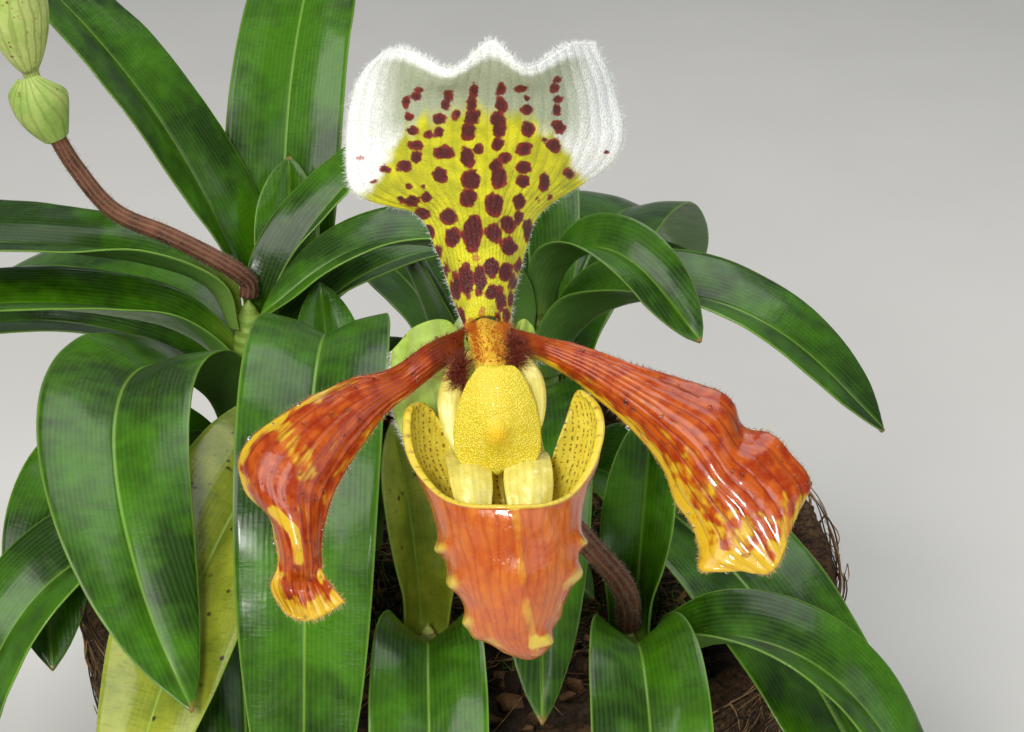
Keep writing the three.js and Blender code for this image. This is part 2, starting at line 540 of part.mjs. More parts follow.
const root = new THREE.Group();
root.name = "potted_paphiopedilum_nitens";

function add(parent, name, geometry, colour, roughness) {
  const material = new THREE.MeshStandardMaterial({ color: colour, roughness, metalness: 0 });
  const mesh = new THREE.Mesh(geometry, material);
  mesh.name = name;
  parent.add(mesh);
  return mesh;
}

add(root, "pot", pot(), COLOURS.fibre, 0.95);
add(root, "growing_medium", growingMedium(), COLOURS.filling, 0.95);

for (const growth of GROWTHS) {
  add(root, `stem_${growth.name}`, stem(growth), COLOURS.stem, 0.6);
  growth.leaves.forEach(([name], index) => {
    const colour = OLD_LEAVES.includes(name) ? COLOURS.leafOld : COLOURS.leaf;
    add(root, `leaf_${growth.name}_${name}`, leaf(growth, index), colour, 0.4);
  });
}

const flower = new THREE.Group();
flower.position.copy(FLOWER_CENTRE);
flower.rotation.x = -FLOWER_TILT;
root.add(flower);
flower.updateMatrixWorld(true);

const edged = (middle, edge) => (across) => middle + (edge - middle) * Math.abs(across) ** 2;
const sepalThickness = edged(SEPAL_THICKNESS, PERIANTH_EDGE_THICKNESS);
const petalThickness = edged(PETAL_THICKNESS, PERIANTH_EDGE_THICKNESS);
for (const [name, net, rows, columns, thickness, colour, roughness] of [
  ["dorsal_sepal", DORSAL_SEPAL_NET, 13, 13, sepalThickness, COLOURS.sepal, 0.5],
  ["synsepal", SYNSEPAL_NET, 8, 13, sepalThickness, COLOURS.synsepal, 0.5],
  ["petal_left", PETAL_LEFT_NET, 16, 7, petalThickness, COLOURS.petal, 0.35],
  ["petal_right", PETAL_RIGHT_NET, 14, 8, petalThickness, COLOURS.petal, 0.35],
]) add(flower, name, thickSheet(netGrid(net, rows, columns), thickness), colour, roughness);
add(flower, "pouch", pouch(), COLOURS.pouch, 0.35);
add(flower, "column", column(), COLOURS.column, 0.5);
add(flower, "ovary", ovary(), COLOURS.ovary, 0.6);

const inFlower = (x, y, z) => flower.localToWorld(new THREE.Vector3(x, y, z));
const stemTop = (name) => {
  const growth = GROWTHS.find((each) => each.name === name);
  return new THREE.Vector3(growth.x, growth.y, growth.foot + growth.height + GAP);
};
const above = (point, rise) => point.clone().setZ(point.z + rise);

// The scape: from the top of its stem, nearly upright, then bent over to the end of the ovary.
const scapeFoot = stemTop("front");
const scapeAxis = smoothCurve([
  scapeFoot, above(scapeFoot, 8), ...place([[41, -80, 183], [26, -88, 207], [13, -86, 230]]),
  inFlower(0, 64, -5.8), inFlower(0, 56.5, -4.75),
]);
const scapeRings = stalkRings(scapeAxis, 14, SCAPE_SIDES, (way) => 3 - 0.5 * way);
add(root, "scape", loft(scapeRings), COLOURS.scape, 0.7);
const bractAxis = smoothCurve([
  inFlower(0, 60, -5.3), inFlower(0, 46, -3), inFlower(0, 30, -1.6), inFlower(0, 20, -1),
]);
add(root, "bract", bract(bractAxis, 5.2, 6), COLOURS.bract, 0.5);

// The second scape, from the top of the left growth, leaning out and rising again, with its bud.
const budScapeFoot = stemTop("left");
const budScapeAxis = smoothCurve([
  budScapeFoot, above(budScapeFoot, 5),
  ...place([[-64, 32, 219], [-78, 34, 226], [-94, 38, 232], [-104, 40, 244], [-110, 40, 256]]),
]);
const budScapeRings = stalkRings(budScapeAxis, 12, SCAPE_SIDES, (way) => 2.6 - 0.3 * way);
add(root, "scape_bud", loft(budScapeRings), COLOURS.scape, 0.7);
const budAxis = smoothCurve(place([
  [-110.2, 40, 256.5], [-114, 39, 272], [-116, 36, 290], [-115, 30, 308],
]));
const budRadius = (way) => 2.2 + 6.4 * Math.sin(Math.PI * Math.max(0, (way - 0.3) / 0.7)) ** 0.8;
add(root, "bud", loft(stalkRings(budAxis, 10, STALK_SIDES, budRadius)), COLOURS.bud, 0.45);
const budBractAxis = smoothCurve(place([[-108.6, 40, 252.6], [-111.6, 39.6, 261], [-114, 39, 272]]));
add(root, "bract_bud", bract(budBractAxis, 4.9, 6), COLOURS.bract, 0.5);

export default root;
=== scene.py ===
"""Potted slipper orchid: the looks of a clump of strap-leaved growths in a pot of matted fibre, with one
open flower and one bud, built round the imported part. Shapes are worked out in millimetres."""

import math

import bpy
import numpy as np
from bpy.props import FloatProperty, FloatVectorProperty, IntProperty, PointerProperty
from bpy.types import Operator, Panel, PropertyGroup
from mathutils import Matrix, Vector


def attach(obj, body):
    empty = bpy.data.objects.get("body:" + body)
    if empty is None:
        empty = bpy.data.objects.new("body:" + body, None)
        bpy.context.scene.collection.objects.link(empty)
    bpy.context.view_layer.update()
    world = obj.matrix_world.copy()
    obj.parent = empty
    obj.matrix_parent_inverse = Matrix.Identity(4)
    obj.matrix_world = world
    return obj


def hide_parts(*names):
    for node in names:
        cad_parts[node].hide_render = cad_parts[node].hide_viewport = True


bl_info = {
    "name": "Potted Slipper Orchid",
    "version": (1, 0, 0),
    "blender": (4, 5, 0),
    "location": "3D View > Sidebar > Orchid",
    "description": "Builds a potted slipper orchid with one open flower and one bud",
    "category": "Object",
}

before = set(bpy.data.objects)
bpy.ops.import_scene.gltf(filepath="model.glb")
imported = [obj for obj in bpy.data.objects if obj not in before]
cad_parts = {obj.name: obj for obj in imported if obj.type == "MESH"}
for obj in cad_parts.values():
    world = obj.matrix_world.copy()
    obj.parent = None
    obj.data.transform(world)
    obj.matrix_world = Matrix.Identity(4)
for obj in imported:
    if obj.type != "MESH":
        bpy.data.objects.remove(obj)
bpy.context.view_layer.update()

MM = 0.001
GAP = 0.3

# Pot and filling, as in the part
POT_HEIGHT, POT_BASE_RADIUS, POT_RIM_RADIUS, POT_WALL, POT_FLOOR = 150, 82, 104, 11, 15
MIX_RIM_HEIGHT, MIX_CROWN, LUMP_HEIGHT, HOLE_DEPTH = 138, 9, 1.6, 22

# Small things on the filling and on the flower
THREAD_COUNT, MOSS_TUFTS, MOSS_BLADES = 1500, 60, 60
WOOL_COUNT, BRISTLE_COUNT = 2200, 1700

# Leaves, as in the part
LEAF_ROWS = 12
SHEATH_LENGTH, FIRST_LEAF, STEM_TIP, CLASP_ROOM, STEM_TAPER = 24, 1.5, 8, 0.45, 0.66
LEAF_BASE_THICKNESS, LEAF_MID_THICKNESS = 1.0, 1.5

# The flower's own frame: x to the right, y away from the viewer and z up as the flower faces the viewer
FLOWER_CENTRE = np.array([10, -145, 278.0])
FLOWER_TILT = math.radians(25)
VIEW_DISTANCE = 500
VIEW_SHIFT = np.array([5, 0, -6.8])

# Each growth: where its stem stands, its foot radius and the height from leaf to leaf, then its leaves from
# the lowest up: azimuth, sideways turn, rise, droop, the share of the length by which it has drooped, length,
# width and twist, in degrees and millimetres.
GROWTHS = {
    "left": ((-58, 34, 9.5, 9), {
        "hanging_left": (196, 84, 40, 96, 1.0, 118, 34, 0), "inner": (16, 0, 44, 66, 1.0, 78, 26, 0),
        "broad": (230, 73, 50, 86, 0.95, 190, 40, 0), "right_rising": (34, -10, 50, 66, 1.0, 106, 32, 0),
        "side": (186, 12, 20, 52, 1.0, 200, 32, 0), "short": (36, -8, 64, 40, 1.0, 90, 24, 0),
        "long": (178, 6, 12, 38, 1.0, 250, 42, 0)}),
    "front_left": ((-64, -16, 7, 7), {
        "hanging": (214, 10, 24, 92, 0.9, 118, 34, 0), "low": (286, -12, 20, 70, 0.9, 120, 32, 0)}),
    "middle": ((-31, 2, 9, 12), {
        "low_right": (318, 0, 50, 80, 1.0, 100, 28, 0), "inner": (104, 0, 80, 20, 1.0, 58, 24, 0),
        "speckled": (252, -2, 20, 62, 0.9, 160, 38, 0), "front": (270, -2, 64, 132, 0.8, 212, 36, 0)}),
    "back_left": ((-50, 59, 8.5, 9), {
        "back_low": (134, 12, 30, 84, 1.0, 235, 38, 0), "side_low": (180, -10, 34, 74, 1.0, 180, 34, 0),
        "erect_right": (100, -36, 74, 40, 1.0, 200, 36, 0), "erect_left": (158, 8, 72, 40, 1.0, 205, 38, 0),
        "back": (88, 0, 82, 14, 1.0, 56, 24, 0)}),
    "right": ((22, 34, 9.5, 9.5), {
        "right_front": (303, 4, 12, 62, 1.0, 195, 42, 0), "back_right": (76, -8, 36, 80, 1.0, 205, 38, 0),
        "hanging_front": (270, 0, 30, 66, 1.0, 160, 28, 0), "back": (94, 2, 50, 76, 1.0, 170, 34, 0),
        "long_right": (344, -10, 36, 78, 1.0, 116, 36, 0), "arching_left": (188, 10, 62, 100, 1.0, 95, 28, 0),
        "arching_right": (316, 4, 70, 110, 0.9, 72, 22, 30)}),
    "front": ((44, -66, 6.5, 6), {
        "right": (338, -4, 36, 96, 0.8, 125, 30, 0), "hanging": (273, 0, 40, 104, 0.7, 140, 30, 0),
        "erect": (70, 0, 84, 8, 1.0, 62, 22, 0)}),
    "young": ((-6, -62, 6.5, 6), {
        "hanging": (272, 0, 44, 112, 0.7, 130, 30, 0), "yellow": (110, 20, 84, 12, 1.0, 58, 24, 0)}),
    "back": ((4, 77, 8.5, 9), {
        "low_left": (112, 14, 26, 76, 1.0, 190, 36, 0), "inner": (190, 0, 82, 14, 1.0, 60, 24, 0),
        "low_right": (42, -10, 12, 60, 1.0, 180, 38, 0)}),
}
OLD_LEAVES = ("speckled", "yellow")

# Flower parts in the flower's frame. A net runs from the base of the part to its far edge, each row from
# the viewer's left to right, or from the upper margin to the lower on a petal.
DORSAL_SEPAL_NET = [
    [[-4.4, 8, 1], [-3.4, 7.2, 1.9], [-1.8, 6.6, 3], [0, 6.4, 3.3], [1.8, 6.6, 3], [3.2, 7.2, 1.9],
     [4.2, 8, 1]],
    [[-7.6, 10, 9], [-5.6, 7, 9.4], [-3, 5.6, 9.6], [0, 5, 9.8], [2.2, 5.6, 9.6], [4, 7, 9.4], [5.6, 10, 9]],
    [[-10.2, 10, 17], [-7.2, 6, 17.4], [-3.8, 3.6, 17.6], [-0.3, 3, 17.8], [2.6, 3.6, 17.6], [5.4, 6, 17.4],
     [7.8, 10, 17]],
    [[-14.8, 9, 24.4], [-10, 4, 24.6], [-5.2, 1, 24.6], [-0.3, 0, 24.8], [3.6, 1, 24.6], [7.4, 4, 24.6],
     [11, 9, 24.8]],
    [[-27, 8, 28.6], [-17.4, 1, 31], [-8.4, -3, 31.8], [0, -4, 32.2], [7, -3, 32], [14.6, 1, 32],
     [23.4, 7, 32.6]],
    [[-28.5, 6, 38.8], [-18.3, -4, 38.6], [-8.9, -8, 38.8], [0.2, -9, 39], [8.5, -8, 39], [17.9, -4, 38.9],
     [27.4, 4, 38.7]],
    [[-27.6, 3, 46.7], [-17.7, -8, 46], [-8.6, -13, 45.6], [0.6, -15, 45.6], [9, -13, 45.8], [17.7, -8, 46],
     [26.4, 2, 47]],
    [[-25, 0, 52], [-16.6, -12, 51.2], [-7.6, -18, 48], [1, -21, 50.6], [8.2, -18, 48.4], [16.2, -12, 51.5],
     [24.4, -1, 52.4]],
    [[-21.3, -2, 55.4], [-15.4, -13, 54.8], [-6.4, -21, 50.2], [1.1, -25, 55], [7.6, -21, 50.6],
     [15.2, -13, 55.2], [21.9, -3, 57]],
]
SYNSEPAL_NET = [
    [[-19.6, 14, -3.6], [-15, 12.4, 1.2], [-9.5, 11, 2.8], [-5.8, 10.4, 0.6], [0, 10.4, -6.4], [5, 10.6, 0.2],
     [7.2, 11.2, 2.8], [9, 12.6, 1.6], [10.4, 14, -2.6]],
    [[-20, 13, -9], [-15.6, 11.6, -6], [-10, 10.8, -5], [-5, 10.4, -7.4], [0, 10.2, -10], [3.2, 10.4, -7.4],
     [5.6, 10.8, -5.4], [7.8, 11.6, -6.6], [9.4, 13, -9]],
    [[-19.4, 12, -16], [-15, 10.6, -15.4], [-10, 10, -15.4], [-5, 9.6, -16], [0, 9.2, -16.6], [2.8, 9.6, -16],
     [5, 10, -15.4], [7, 10.6, -15.6], [8.8, 12, -16.4]],
    [[-15.6, 10.4, -25], [-12, 9.6, -25.4], [-8, 9, -25.8], [-4, 8.6, -26], [0, 8.2, -26], [2.4, 8.6, -26],
     [4.4, 9, -25.8], [6.4, 9.6, -25.4], [8, 10.4, -25]],
    [[-8.6, 7.6, -37], [-7, 7.6, -39], [-5, 7.4, -39.6], [-2.4, 7.2, -38], [0, 7, -36], [1.8, 7.2, -38],
     [3.4, 7.4, -39.4], [5, 7.6, -38.6], [6.4, 7.6, -37]],
]
PETAL_LEFT_NET = [
    [[-4.6, 5, 0.8], [-4.8, 4.4, -0.4], [-4.9, 4, -1.6], [-4.8, 4.4, -2.8], [-4.6, 5, -4]],
    [[-12.4, -1, -2.8], [-11.8, -2, -4], [-11, -2.6, -5.2], [-10.2, -2.4, -6.4], [-9.4, -1.6, -7.6]],
    [[-19, -5.4, -7.4], [-18, -4, -8.6], [-17.2, -4, -9.8], [-16.2, -3.6, -11], [-15.2, -2.6, -12.2]],
    [[-29.2, -4, -9.9], [-27, -7, -11.4], [-24.8, -7.4, -13.4], [-22.6, -6.6, -15.2], [-20.6, -5, -16.8]],
    [[-36.9, -8, -14], [-34, -10, -15.8], [-30.4, -10.4, -18], [-27.4, -9.4, -20.2], [-24.6, -7, -22.3]],
    [[-44.4, -7, -19.9], [-40.4, -12, -21.8], [-35.5, -13.4, -24], [-31.6, -12, -26.2], [-28.3, -9, -28.1]],
    [[-49.2, -9, -26.4], [-44.6, -14, -28.2], [-38.8, -15.6, -30], [-34.2, -14, -31.8], [-30.5, -11, -33.3]],
    [[-44.6, -10, -34], [-41.6, -15, -35.2], [-37.6, -17, -36.6], [-34.4, -15.4, -38.2], [-32, -12, -39.6]],
    [[-40.4, -12, -42.2], [-38.6, -16, -42.8], [-36, -17.4, -43.3], [-34, -16, -43.9], [-32.2, -13, -44.4]],
    [[-41.4, -16, -49.6], [-39, -14, -50.2], [-36, -13.2, -50.2], [-33.4, -14, -49], [-31.2, -16, -47.5]],
    [[-38.8, -18, -54.2], [-36.8, -17, -55.6], [-34, -16.4, -56], [-30.6, -17, -54.6], [-27.2, -18, -52.2]],
]
PETAL_RIGHT_NET = [
    [[4.6, 5, 0.8], [4.8, 4.4, -0.4], [4.9, 4, -1.6], [4.8, 4.4, -2.8], [4.6, 5, -4]],
    [[11.8, -1, -1.2], [11.8, -2.4, -2.4], [11.8, -3, -3.6], [11.8, -2.8, -5], [11.8, -2, -6.2]],
    [[20, -3, -3.2], [20.4, -5.4, -5.2], [20.6, -6.4, -7.6], [20.6, -6, -9.8], [20.6, -4, -12]],
    [[29.6, -7, -7.1], [29.6, -9, -10], [29.4, -9.6, -13.2], [29, -8.8, -16.4], [28.6, -6, -19.4]],
    [[38.1, -6, -9.3], [37, -11, -13.4], [35.7, -12.6, -17.8], [34.8, -11.4, -22], [34, -8, -26.2]],
    [[45.5, -9, -11.4], [43.4, -13.6, -16.6], [40.9, -15.6, -22.3], [38.6, -14, -27.8], [36.7, -10, -32.9]],
    [[50.9, -8, -18.2], [48.4, -15, -23], [45.4, -17.4, -28.6], [42.4, -16, -33.4], [39.8, -12, -37.5]],
    [[58.2, -13, -22.1], [54, -17, -27.4], [49.7, -18.6, -33], [45.4, -17.6, -38], [41.4, -14, -42.4]],
    [[62.7, -14, -29.5], [58, -19, -33.6], [53.2, -19.6, -38.2], [47.4, -19, -42.6], [41.6, -18, -46.4]],
    [[60.5, -17, -33.6], [58.4, -19, -38.4], [56.3, -21, -44.4], [53.4, -20, -46.8], [48.6, -19, -45.4]],
]
# The pouch at a height: height, half width, middle x, front y, back y. Then its rim: angle from the front, height.
POUCH_PROFILE = [
    [-64, 0.4, 8.4, -14, -13], [-62.6, 4, 7.2, -17.5, -9.5], [-59.5, 6.8, 5.6, -20.4, -6.4],
    [-55, 8.8, 5.3, -23.4, -4], [-48.5, 11.9, 5.2, -26.6, -2], [-41, 13.5, 4.7, -28, -0.6],
    [-33, 15, 3.8, -28.4, 1], [-25, 18.6, 3.3, -26.4, 2.6], [-17, 19.6, 3.3, -22, 4.6],
    [-10, 17.6, 2.6, -17, 6], [-5, 14, 1, -12, 7],
]
POUCH_RIM = [
    [0, -33], [35, -32.6], [58, -30.5], [72, -26.5], [84, -20.5], [96, -15.6], [108, -14.2], [120, -14],
    [132, -15.8], [141, -20], [149, -26.5], [160, -18], [172, -7], [180, -5.6],
]
POUCH_TOE, POUCH_WALL = -63.5, 1.2
# Where the viewer sees the pouch's warts: across, up and how wide each is
POUCH_WARTS = [(-8.5, -43, 1.4), (-6.6, -50, 2.0), (-3.4, -57.6, 1.6), (-2.6, -61, 2.0), (18.6, -42, 1.4),
               (18.2, -48.4, 2.0), (16, -57.3, 1.8), (11.5, -61.5, 1.6)]
COLUMN_AXIS = [[0, 9.7, -1], [0, 5, -1.2], [0.6, -1, -4], [1.4, -7.4, -9.5], [2, -12.8, -15.4]]
OVARY_AXIS = [[0, 10, -1], [0, 26, -1.6], [0, 42, -2.6], [0, 56, -4.6]]
SHIELD_SIZE = (8.6, 10.2)
# The staminode's half width at places up its height, from -1 at its toothed foot to 1 at its top
SHIELD_OUTLINE = ([-1, -0.97, -0.9, -0.78, -0.6, -0.2, 0.2, 0.59, 0.88, 0.96, 1],
                  [3.4, 5.4, 7.0, 8.1, 8.6, 8.4, 7.5, 5.9, 4.2, 3.2, 2.2])
FLANKS = {"left": [(-3.2, 1, -4), (-5.4, -3.5, -7), (-7.3, -8, -14), (-6.4, -10.6, -21), (-4, -11, -25)],
          "right": [(3.4, 1, -3.6), (6.2, -3.5, -5.6), (9.0, -8, -10.4), (9.6, -10.5, -17), (8, -11, -23)]}
# Two folded lobes inside the mouth, from the pouch's back wall forward and down
FLAP_NETS = {
    "left": [[[-9, 0.2, -24], [-6, 0.8, -23.5], [-2, 1, -23.5]],
             [[-8, -7, -26], [-4, -9, -25.6], [0.6, -7, -26]],
             [[-7, -14, -29.5], [-3.4, -16, -29], [1.2, -13.5, -29.5]],
             [[-5.4, -17, -35], [-2.4, -18.6, -35.5], [1, -16, -35]]],
    "right": [[[4, 1, -23.5], [8, 0.8, -23.5], [11, 0, -24]],
              [[3.6, -7, -25.6], [8, -9, -25], [12.4, -7, -24.6]],
              [[3.4, -13.5, -29.5], [8.4, -16, -28.6], [13, -13.5, -28.5]],
              [[4.4, -16, -35], [8.6, -18.6, -35.5], [12.6, -16, -35]]],
}

# The dorsal sepal's spots as the viewer sees them, in rows from its left margin to its right and down to its
# base: middle x, middle y, width and height, in twentieths of a millimetre from SPOT_CORNER.
SPOT_CORNER = (-30.4, 60.4)
SPOTS = [
    (346, 243, 30, 15), (322, 264, 45, 28), (283, 286, 30, 36), (293, 351, 30, 24), (307, 402, 45, 36),
    (322, 459, 50, 32), (323, 509, 45, 48), (278, 544, 50, 42), (197, 557, 30, 22), (147, 609, 24, 10),
    (293, 623, 18, 14), (356, 622, 18, 20), (366, 667, 34, 46), (262, 675, 30, 24), (308, 681, 60, 38),
    (348, 735, 60, 42), (378, 805, 36, 55), (413, 885, 30, 45), (445, 965, 16, 50),
    (450, 265, 30, 50), (440, 300, 35, 40), (415, 360, 48, 45), (415, 405, 34, 45), (374, 416, 28, 28),
    (490, 338, 30, 36), (434, 491, 74, 46), (418, 580, 60, 60), (455, 745, 62, 62), (470, 830, 58, 70),
    (557, 245, 34, 50), (545, 295, 40, 60), (545, 350, 60, 60), (575, 335, 20, 30), (533, 405, 56, 64),
    (570, 475, 40, 40), (528, 510, 55, 75), (545, 600, 75, 75), (533, 670, 66, 70), (550, 808, 76, 138),
    (495, 922, 10, 14),
    (663, 235, 36, 40), (665, 300, 46, 56), (650, 360, 54, 70), (655, 400, 50, 60), (652, 455, 50, 50),
    (680, 510, 40, 40), (640, 545, 50, 50), (655, 590, 60, 80), (636, 700, 70, 86), (632, 812, 60, 80),
    (745, 235, 40, 22), (765, 272, 32, 30), (770, 317, 40, 40), (770, 395, 50, 60), (757, 475, 52, 46),
    (757, 550, 54, 48), (753, 605, 56, 48), (736, 685, 50, 62), (735, 750, 38, 50), (690, 775, 60, 60),
    (698, 870, 60, 64), (772, 800, 44, 90),
    (885, 198, 30, 24), (882, 232, 34, 36), (888, 275, 34, 30), (887, 320, 38, 40), (893, 387, 54, 48),
    (837, 440, 22, 26), (875, 463, 50, 48), (838, 603, 44, 72), (937, 575, 42, 34), (862, 670, 12, 10),
    (815, 683, 10, 14), (1088, 487, 10, 8),
    (525, 1000, 60, 120), (580, 1000, 50, 110), (485, 1030, 38, 105), (625, 950, 66, 80), (680, 968, 56, 76),
    (627, 1050, 52, 62), (732, 945, 24, 50), (712, 1013, 28, 60), (660, 1080, 42, 90), (705, 1075, 18, 50),
    (683, 1140, 26, 50), (652, 1150, 20, 30), (508, 1152, 32, 66), (465, 1050, 10, 50),
]
FAINT_SPOTS = [(108, 511, 24, 12), (565, 912, 28, 28), (587, 1135, 38, 50), (545, 1160, 28, 34)]


def tint(code):
    """A colour from its six-figure code, in the linear values that shaders use."""
    parts = [int(code[i:i + 2], 16) / 255 for i in (0, 2, 4)]
    return tuple(c / 12.92 if c <= 0.04045 else ((c + 0.055) / 1.055) ** 2.4 for c in parts)


def unit(v):
    """Vectors divided by their lengths."""
    return v / np.maximum(np.linalg.norm(v, axis=-1, keepdims=True), 1e-12)


def upright(centre):
    """Unit vectors square to a grid of points: the cross product of its slopes along rows and columns."""
    return unit(np.cross(np.gradient(centre, axis=0), np.gradient(centre, axis=1)))


def ease(start, end, x):
    """0 before start, 1 after end and the smooth cubic between them."""
    t = np.clip((x - start) / (end - start), 0, 1)
    return t * t * (3 - 2 * t)


def through(points, t):
    """The smooth curve through points at t from 0 to 1: between two of them, the cubic whose slope at each
    point is half the step between its neighbours, with the end points mirrored outwards."""
    points = np.asarray(points, float)
    n = len(points) - 1
    p = np.concatenate([2 * points[:1] - points[1:2], points, 2 * points[-1:] - points[-2:-1]])
    s = np.clip(np.asarray(t, float), 0, 1) * n
    k = np.minimum(s.astype(int), n - 1)
    w = (s - k).reshape(s.shape + (1,) * (points.ndim - 1))
    a, b, c, d = (p[k + i] for i in range(4))
    return b + w * (c - a) / 2 + w**2 * (a - 2.5 * b + 2 * c - d / 2) + w**3 * (1.5 * (b - c) + (d - a) / 2)


def net_surface(net, u, v):
    """The smooth surface through a net of points: curves along its columns, then across through those."""
    return through(through(net, u).transpose(1, 0, 2), v).transpose(1, 0, 2)


def noise(points, size, seed=0, octaves=1):
    """Random values from -1 to 1 at the corners of cubes of this size, blended smoothly between them; each
    further octave has cubes half the size and half the strength."""
    table = np.random.default_rng(seed).uniform(-1, 1, (32, 32, 32))
    q = np.asarray(points, float) / size
    total, weight, weights = 0, 1.0, 0.0
    for _ in range(octaves):
        cell = np.floor(q).astype(int)
        f = q - cell
        f = f * f * (3 - 2 * f)
        for corner in np.ndindex(2, 2, 2):
            x, y, z = np.moveaxis((cell + corner) % 32, -1, 0)
            total = total + weight * np.prod(np.where(corner, f, 1 - f), axis=-1) * table[x, y, z]
        weights += weight
        weight /= 2
        q = q * 2 + 7.3
    return total / weights


def read_table(table, column, place):
    """A column of a short table at a place in its first column, by the cubic whose slopes are those between
    the entries on either side."""
    t = np.asarray(table, float)
    place = np.asarray(place, float)
    k = np.clip(np.searchsorted(t[:, 0], place) - 1, 0, len(t) - 2)
    before, after = np.maximum(k - 1, 0), np.minimum(k + 2, len(t) - 1)
    step = t[k + 1, 0] - t[k, 0]
    w = (place - t[k, 0]) / step
    y = t[:, column]
    slope_from = (y[k + 1] - y[before]) / (t[k + 1, 0] - t[before, 0]) * step
    slope_to = (y[after] - y[k]) / (t[after, 0] - t[k, 0]) * step
    return ((2 * w**3 - 3 * w**2 + 1) * y[k] + (w**3 - 2 * w**2 + w) * slope_from
            + (3 * w**2 - 2 * w**3) * y[k + 1] + (w**3 - w**2) * slope_to)


def rail(points, stations):
    """A smooth curve through points, at equal lengths, with its directions and a first and second normal,
    each carried from the one before by the turn of the direction, so that they do not twist."""
    fine = through(points, np.linspace(0, 1, 2001))
    lengths = np.concatenate([[0], np.cumsum(np.linalg.norm(np.diff(fine, axis=0), axis=1))])
    where = np.interp(np.linspace(0, lengths[-1], stations), lengths, np.linspace(0, 1, 2001))
    centre = through(points, where)
    ahead = unit(through(points, np.minimum(where + 1e-4, 1)) - through(points, np.maximum(where - 1e-4, 0)))
    least = np.zeros(3)
    least[np.argmin(np.abs(ahead[0]))] = 1
    normal = np.cross(ahead[0], unit(np.cross(ahead[0], least)))
    normals = [normal]
    for a, b in zip(ahead[:-1], ahead[1:]):
        axis = np.cross(a, b)
        turn = math.asin(min(1, np.linalg.norm(axis)))
        axis = unit(axis)
        normal = (normal * math.cos(turn) + np.cross(axis, normal) * math.sin(turn)
                  + axis * (axis @ normal) * (1 - math.cos(turn)))
        normals.append(normal)
    normals = np.array(normals)
    return centre, ahead, normals, np.cross(ahead, normals)


def grid_quads(index, wrap=False):
    """Four-sided faces between the neighbours of a grid of vertex numbers, closed round its rows if wrap."""
    if wrap:
        index = np.concatenate([index, index[:, :1]], 1)
    return np.stack([index[:-1, :-1], index[1:, :-1], index[1:, 1:], index[:-1, 1:]], -1).reshape(-1, 4)


def sheet(centre, half, facing=None):
    """A closed sheet: its two faces lie half a thickness to either side of the centre surface, along the
    normal that is the cross product of its two slopes, and meet in its edge. Gives points, faces, a function
    that spreads values over the points, and the side, 1 in front and 0 behind; the front faces facing."""
    rows, columns = centre.shape[:2]
    normal = upright(centre)
    inner = np.zeros((rows, columns), bool)
    inner[1:-1, 1:-1] = True
    lift = np.where(inner, half, 0)[..., None] * normal
    front = np.arange(rows * columns).reshape(rows, columns)
    back = front.copy()
    back[inner] = rows * columns + np.arange(inner.sum())
    points = np.concatenate([(centre + lift).reshape(-1, 3), (centre - lift)[inner]])
    quads = np.concatenate([grid_quads(front), grid_quads(back)[:, ::-1]])
    side = np.concatenate([np.where(inner, 1.0, 0.5).ravel(), np.zeros(inner.sum())])
    if facing is not None and (normal @ np.array(facing, float)).sum() < 0:
        side = 1 - side

    def spread(values):
        values = np.broadcast_to(values, (rows, columns))
        return np.concatenate([values.ravel(), values[inner]])
    return points, quads, spread, side


def skin(rings):
    """A closed skin through rings of points, with a pole in the middle of each end ring."""
    n, sides = rings.shape[:2]
    index = np.arange(n * sides).reshape(n, sides)
    points = np.concatenate([rings.reshape(-1, 3), rings[:1].mean(1), rings[-1:].mean(1)])
    following = np.roll(index, -1, axis=1)
    first = np.stack([np.full(sides, n * sides), following[0], index[0]], -1)
    last = np.stack([np.full(sides, n * sides + 1), index[-1], following[-1]], -1)
    return points, grid_quads(index, wrap=True)[:, ::-1], np.concatenate([first, last])


def strands(centre, radius, seed=0):
    """Three-sided hairs or fibres, closed at both ends, one along each row of centre points; the corners of a
    section stand round its centre at the radius, square to the strand."""
    n, m = centre.shape[:2]
    ahead = unit(np.gradient(centre, axis=1))
    across = unit(np.cross(ahead, unit(np.random.default_rng(seed).normal(size=(n, 1, 3)))))
    other = np.cross(ahead, across)
    angle = 2 * np.pi * np.arange(3) / 3
    spokes = across[:, :, None] * np.cos(angle)[:, None] + other[:, :, None] * np.sin(angle)[:, None]
    points = centre[:, :, None] + radius[:, :, None, None] * spokes
    index = np.arange(n * m * 3).reshape(n, m, 3)
    following = np.roll(index, -1, axis=2)
    quads = np.stack([index[:, :-1], following[:, :-1], following[:, 1:], index[:, 1:]], -1).reshape(-1, 4)
    caps = np.concatenate([index[:, 0, ::-1], index[:, -1]])
    return points.reshape(-1, 3), quads, caps


def hairs(roots, directions, lengths, radius, seed, curl=0.5, steps=4):
    """Tapered hairs: from its root each runs along its direction and bends aside with the square of the way."""
    rng = np.random.default_rng(seed)
    way = np.linspace(0, 1, steps)[:, None]
    aside = rng.normal(size=(len(roots), 1, 3)) * curl
    centre = roots[:, None] + lengths[:, None, None] * (directions[:, None] * way + aside * way**2 * 0.5)
    return strands(centre, radius * (1 - 0.8 * way[:, 0]) * np.ones((len(roots), 1)), seed)


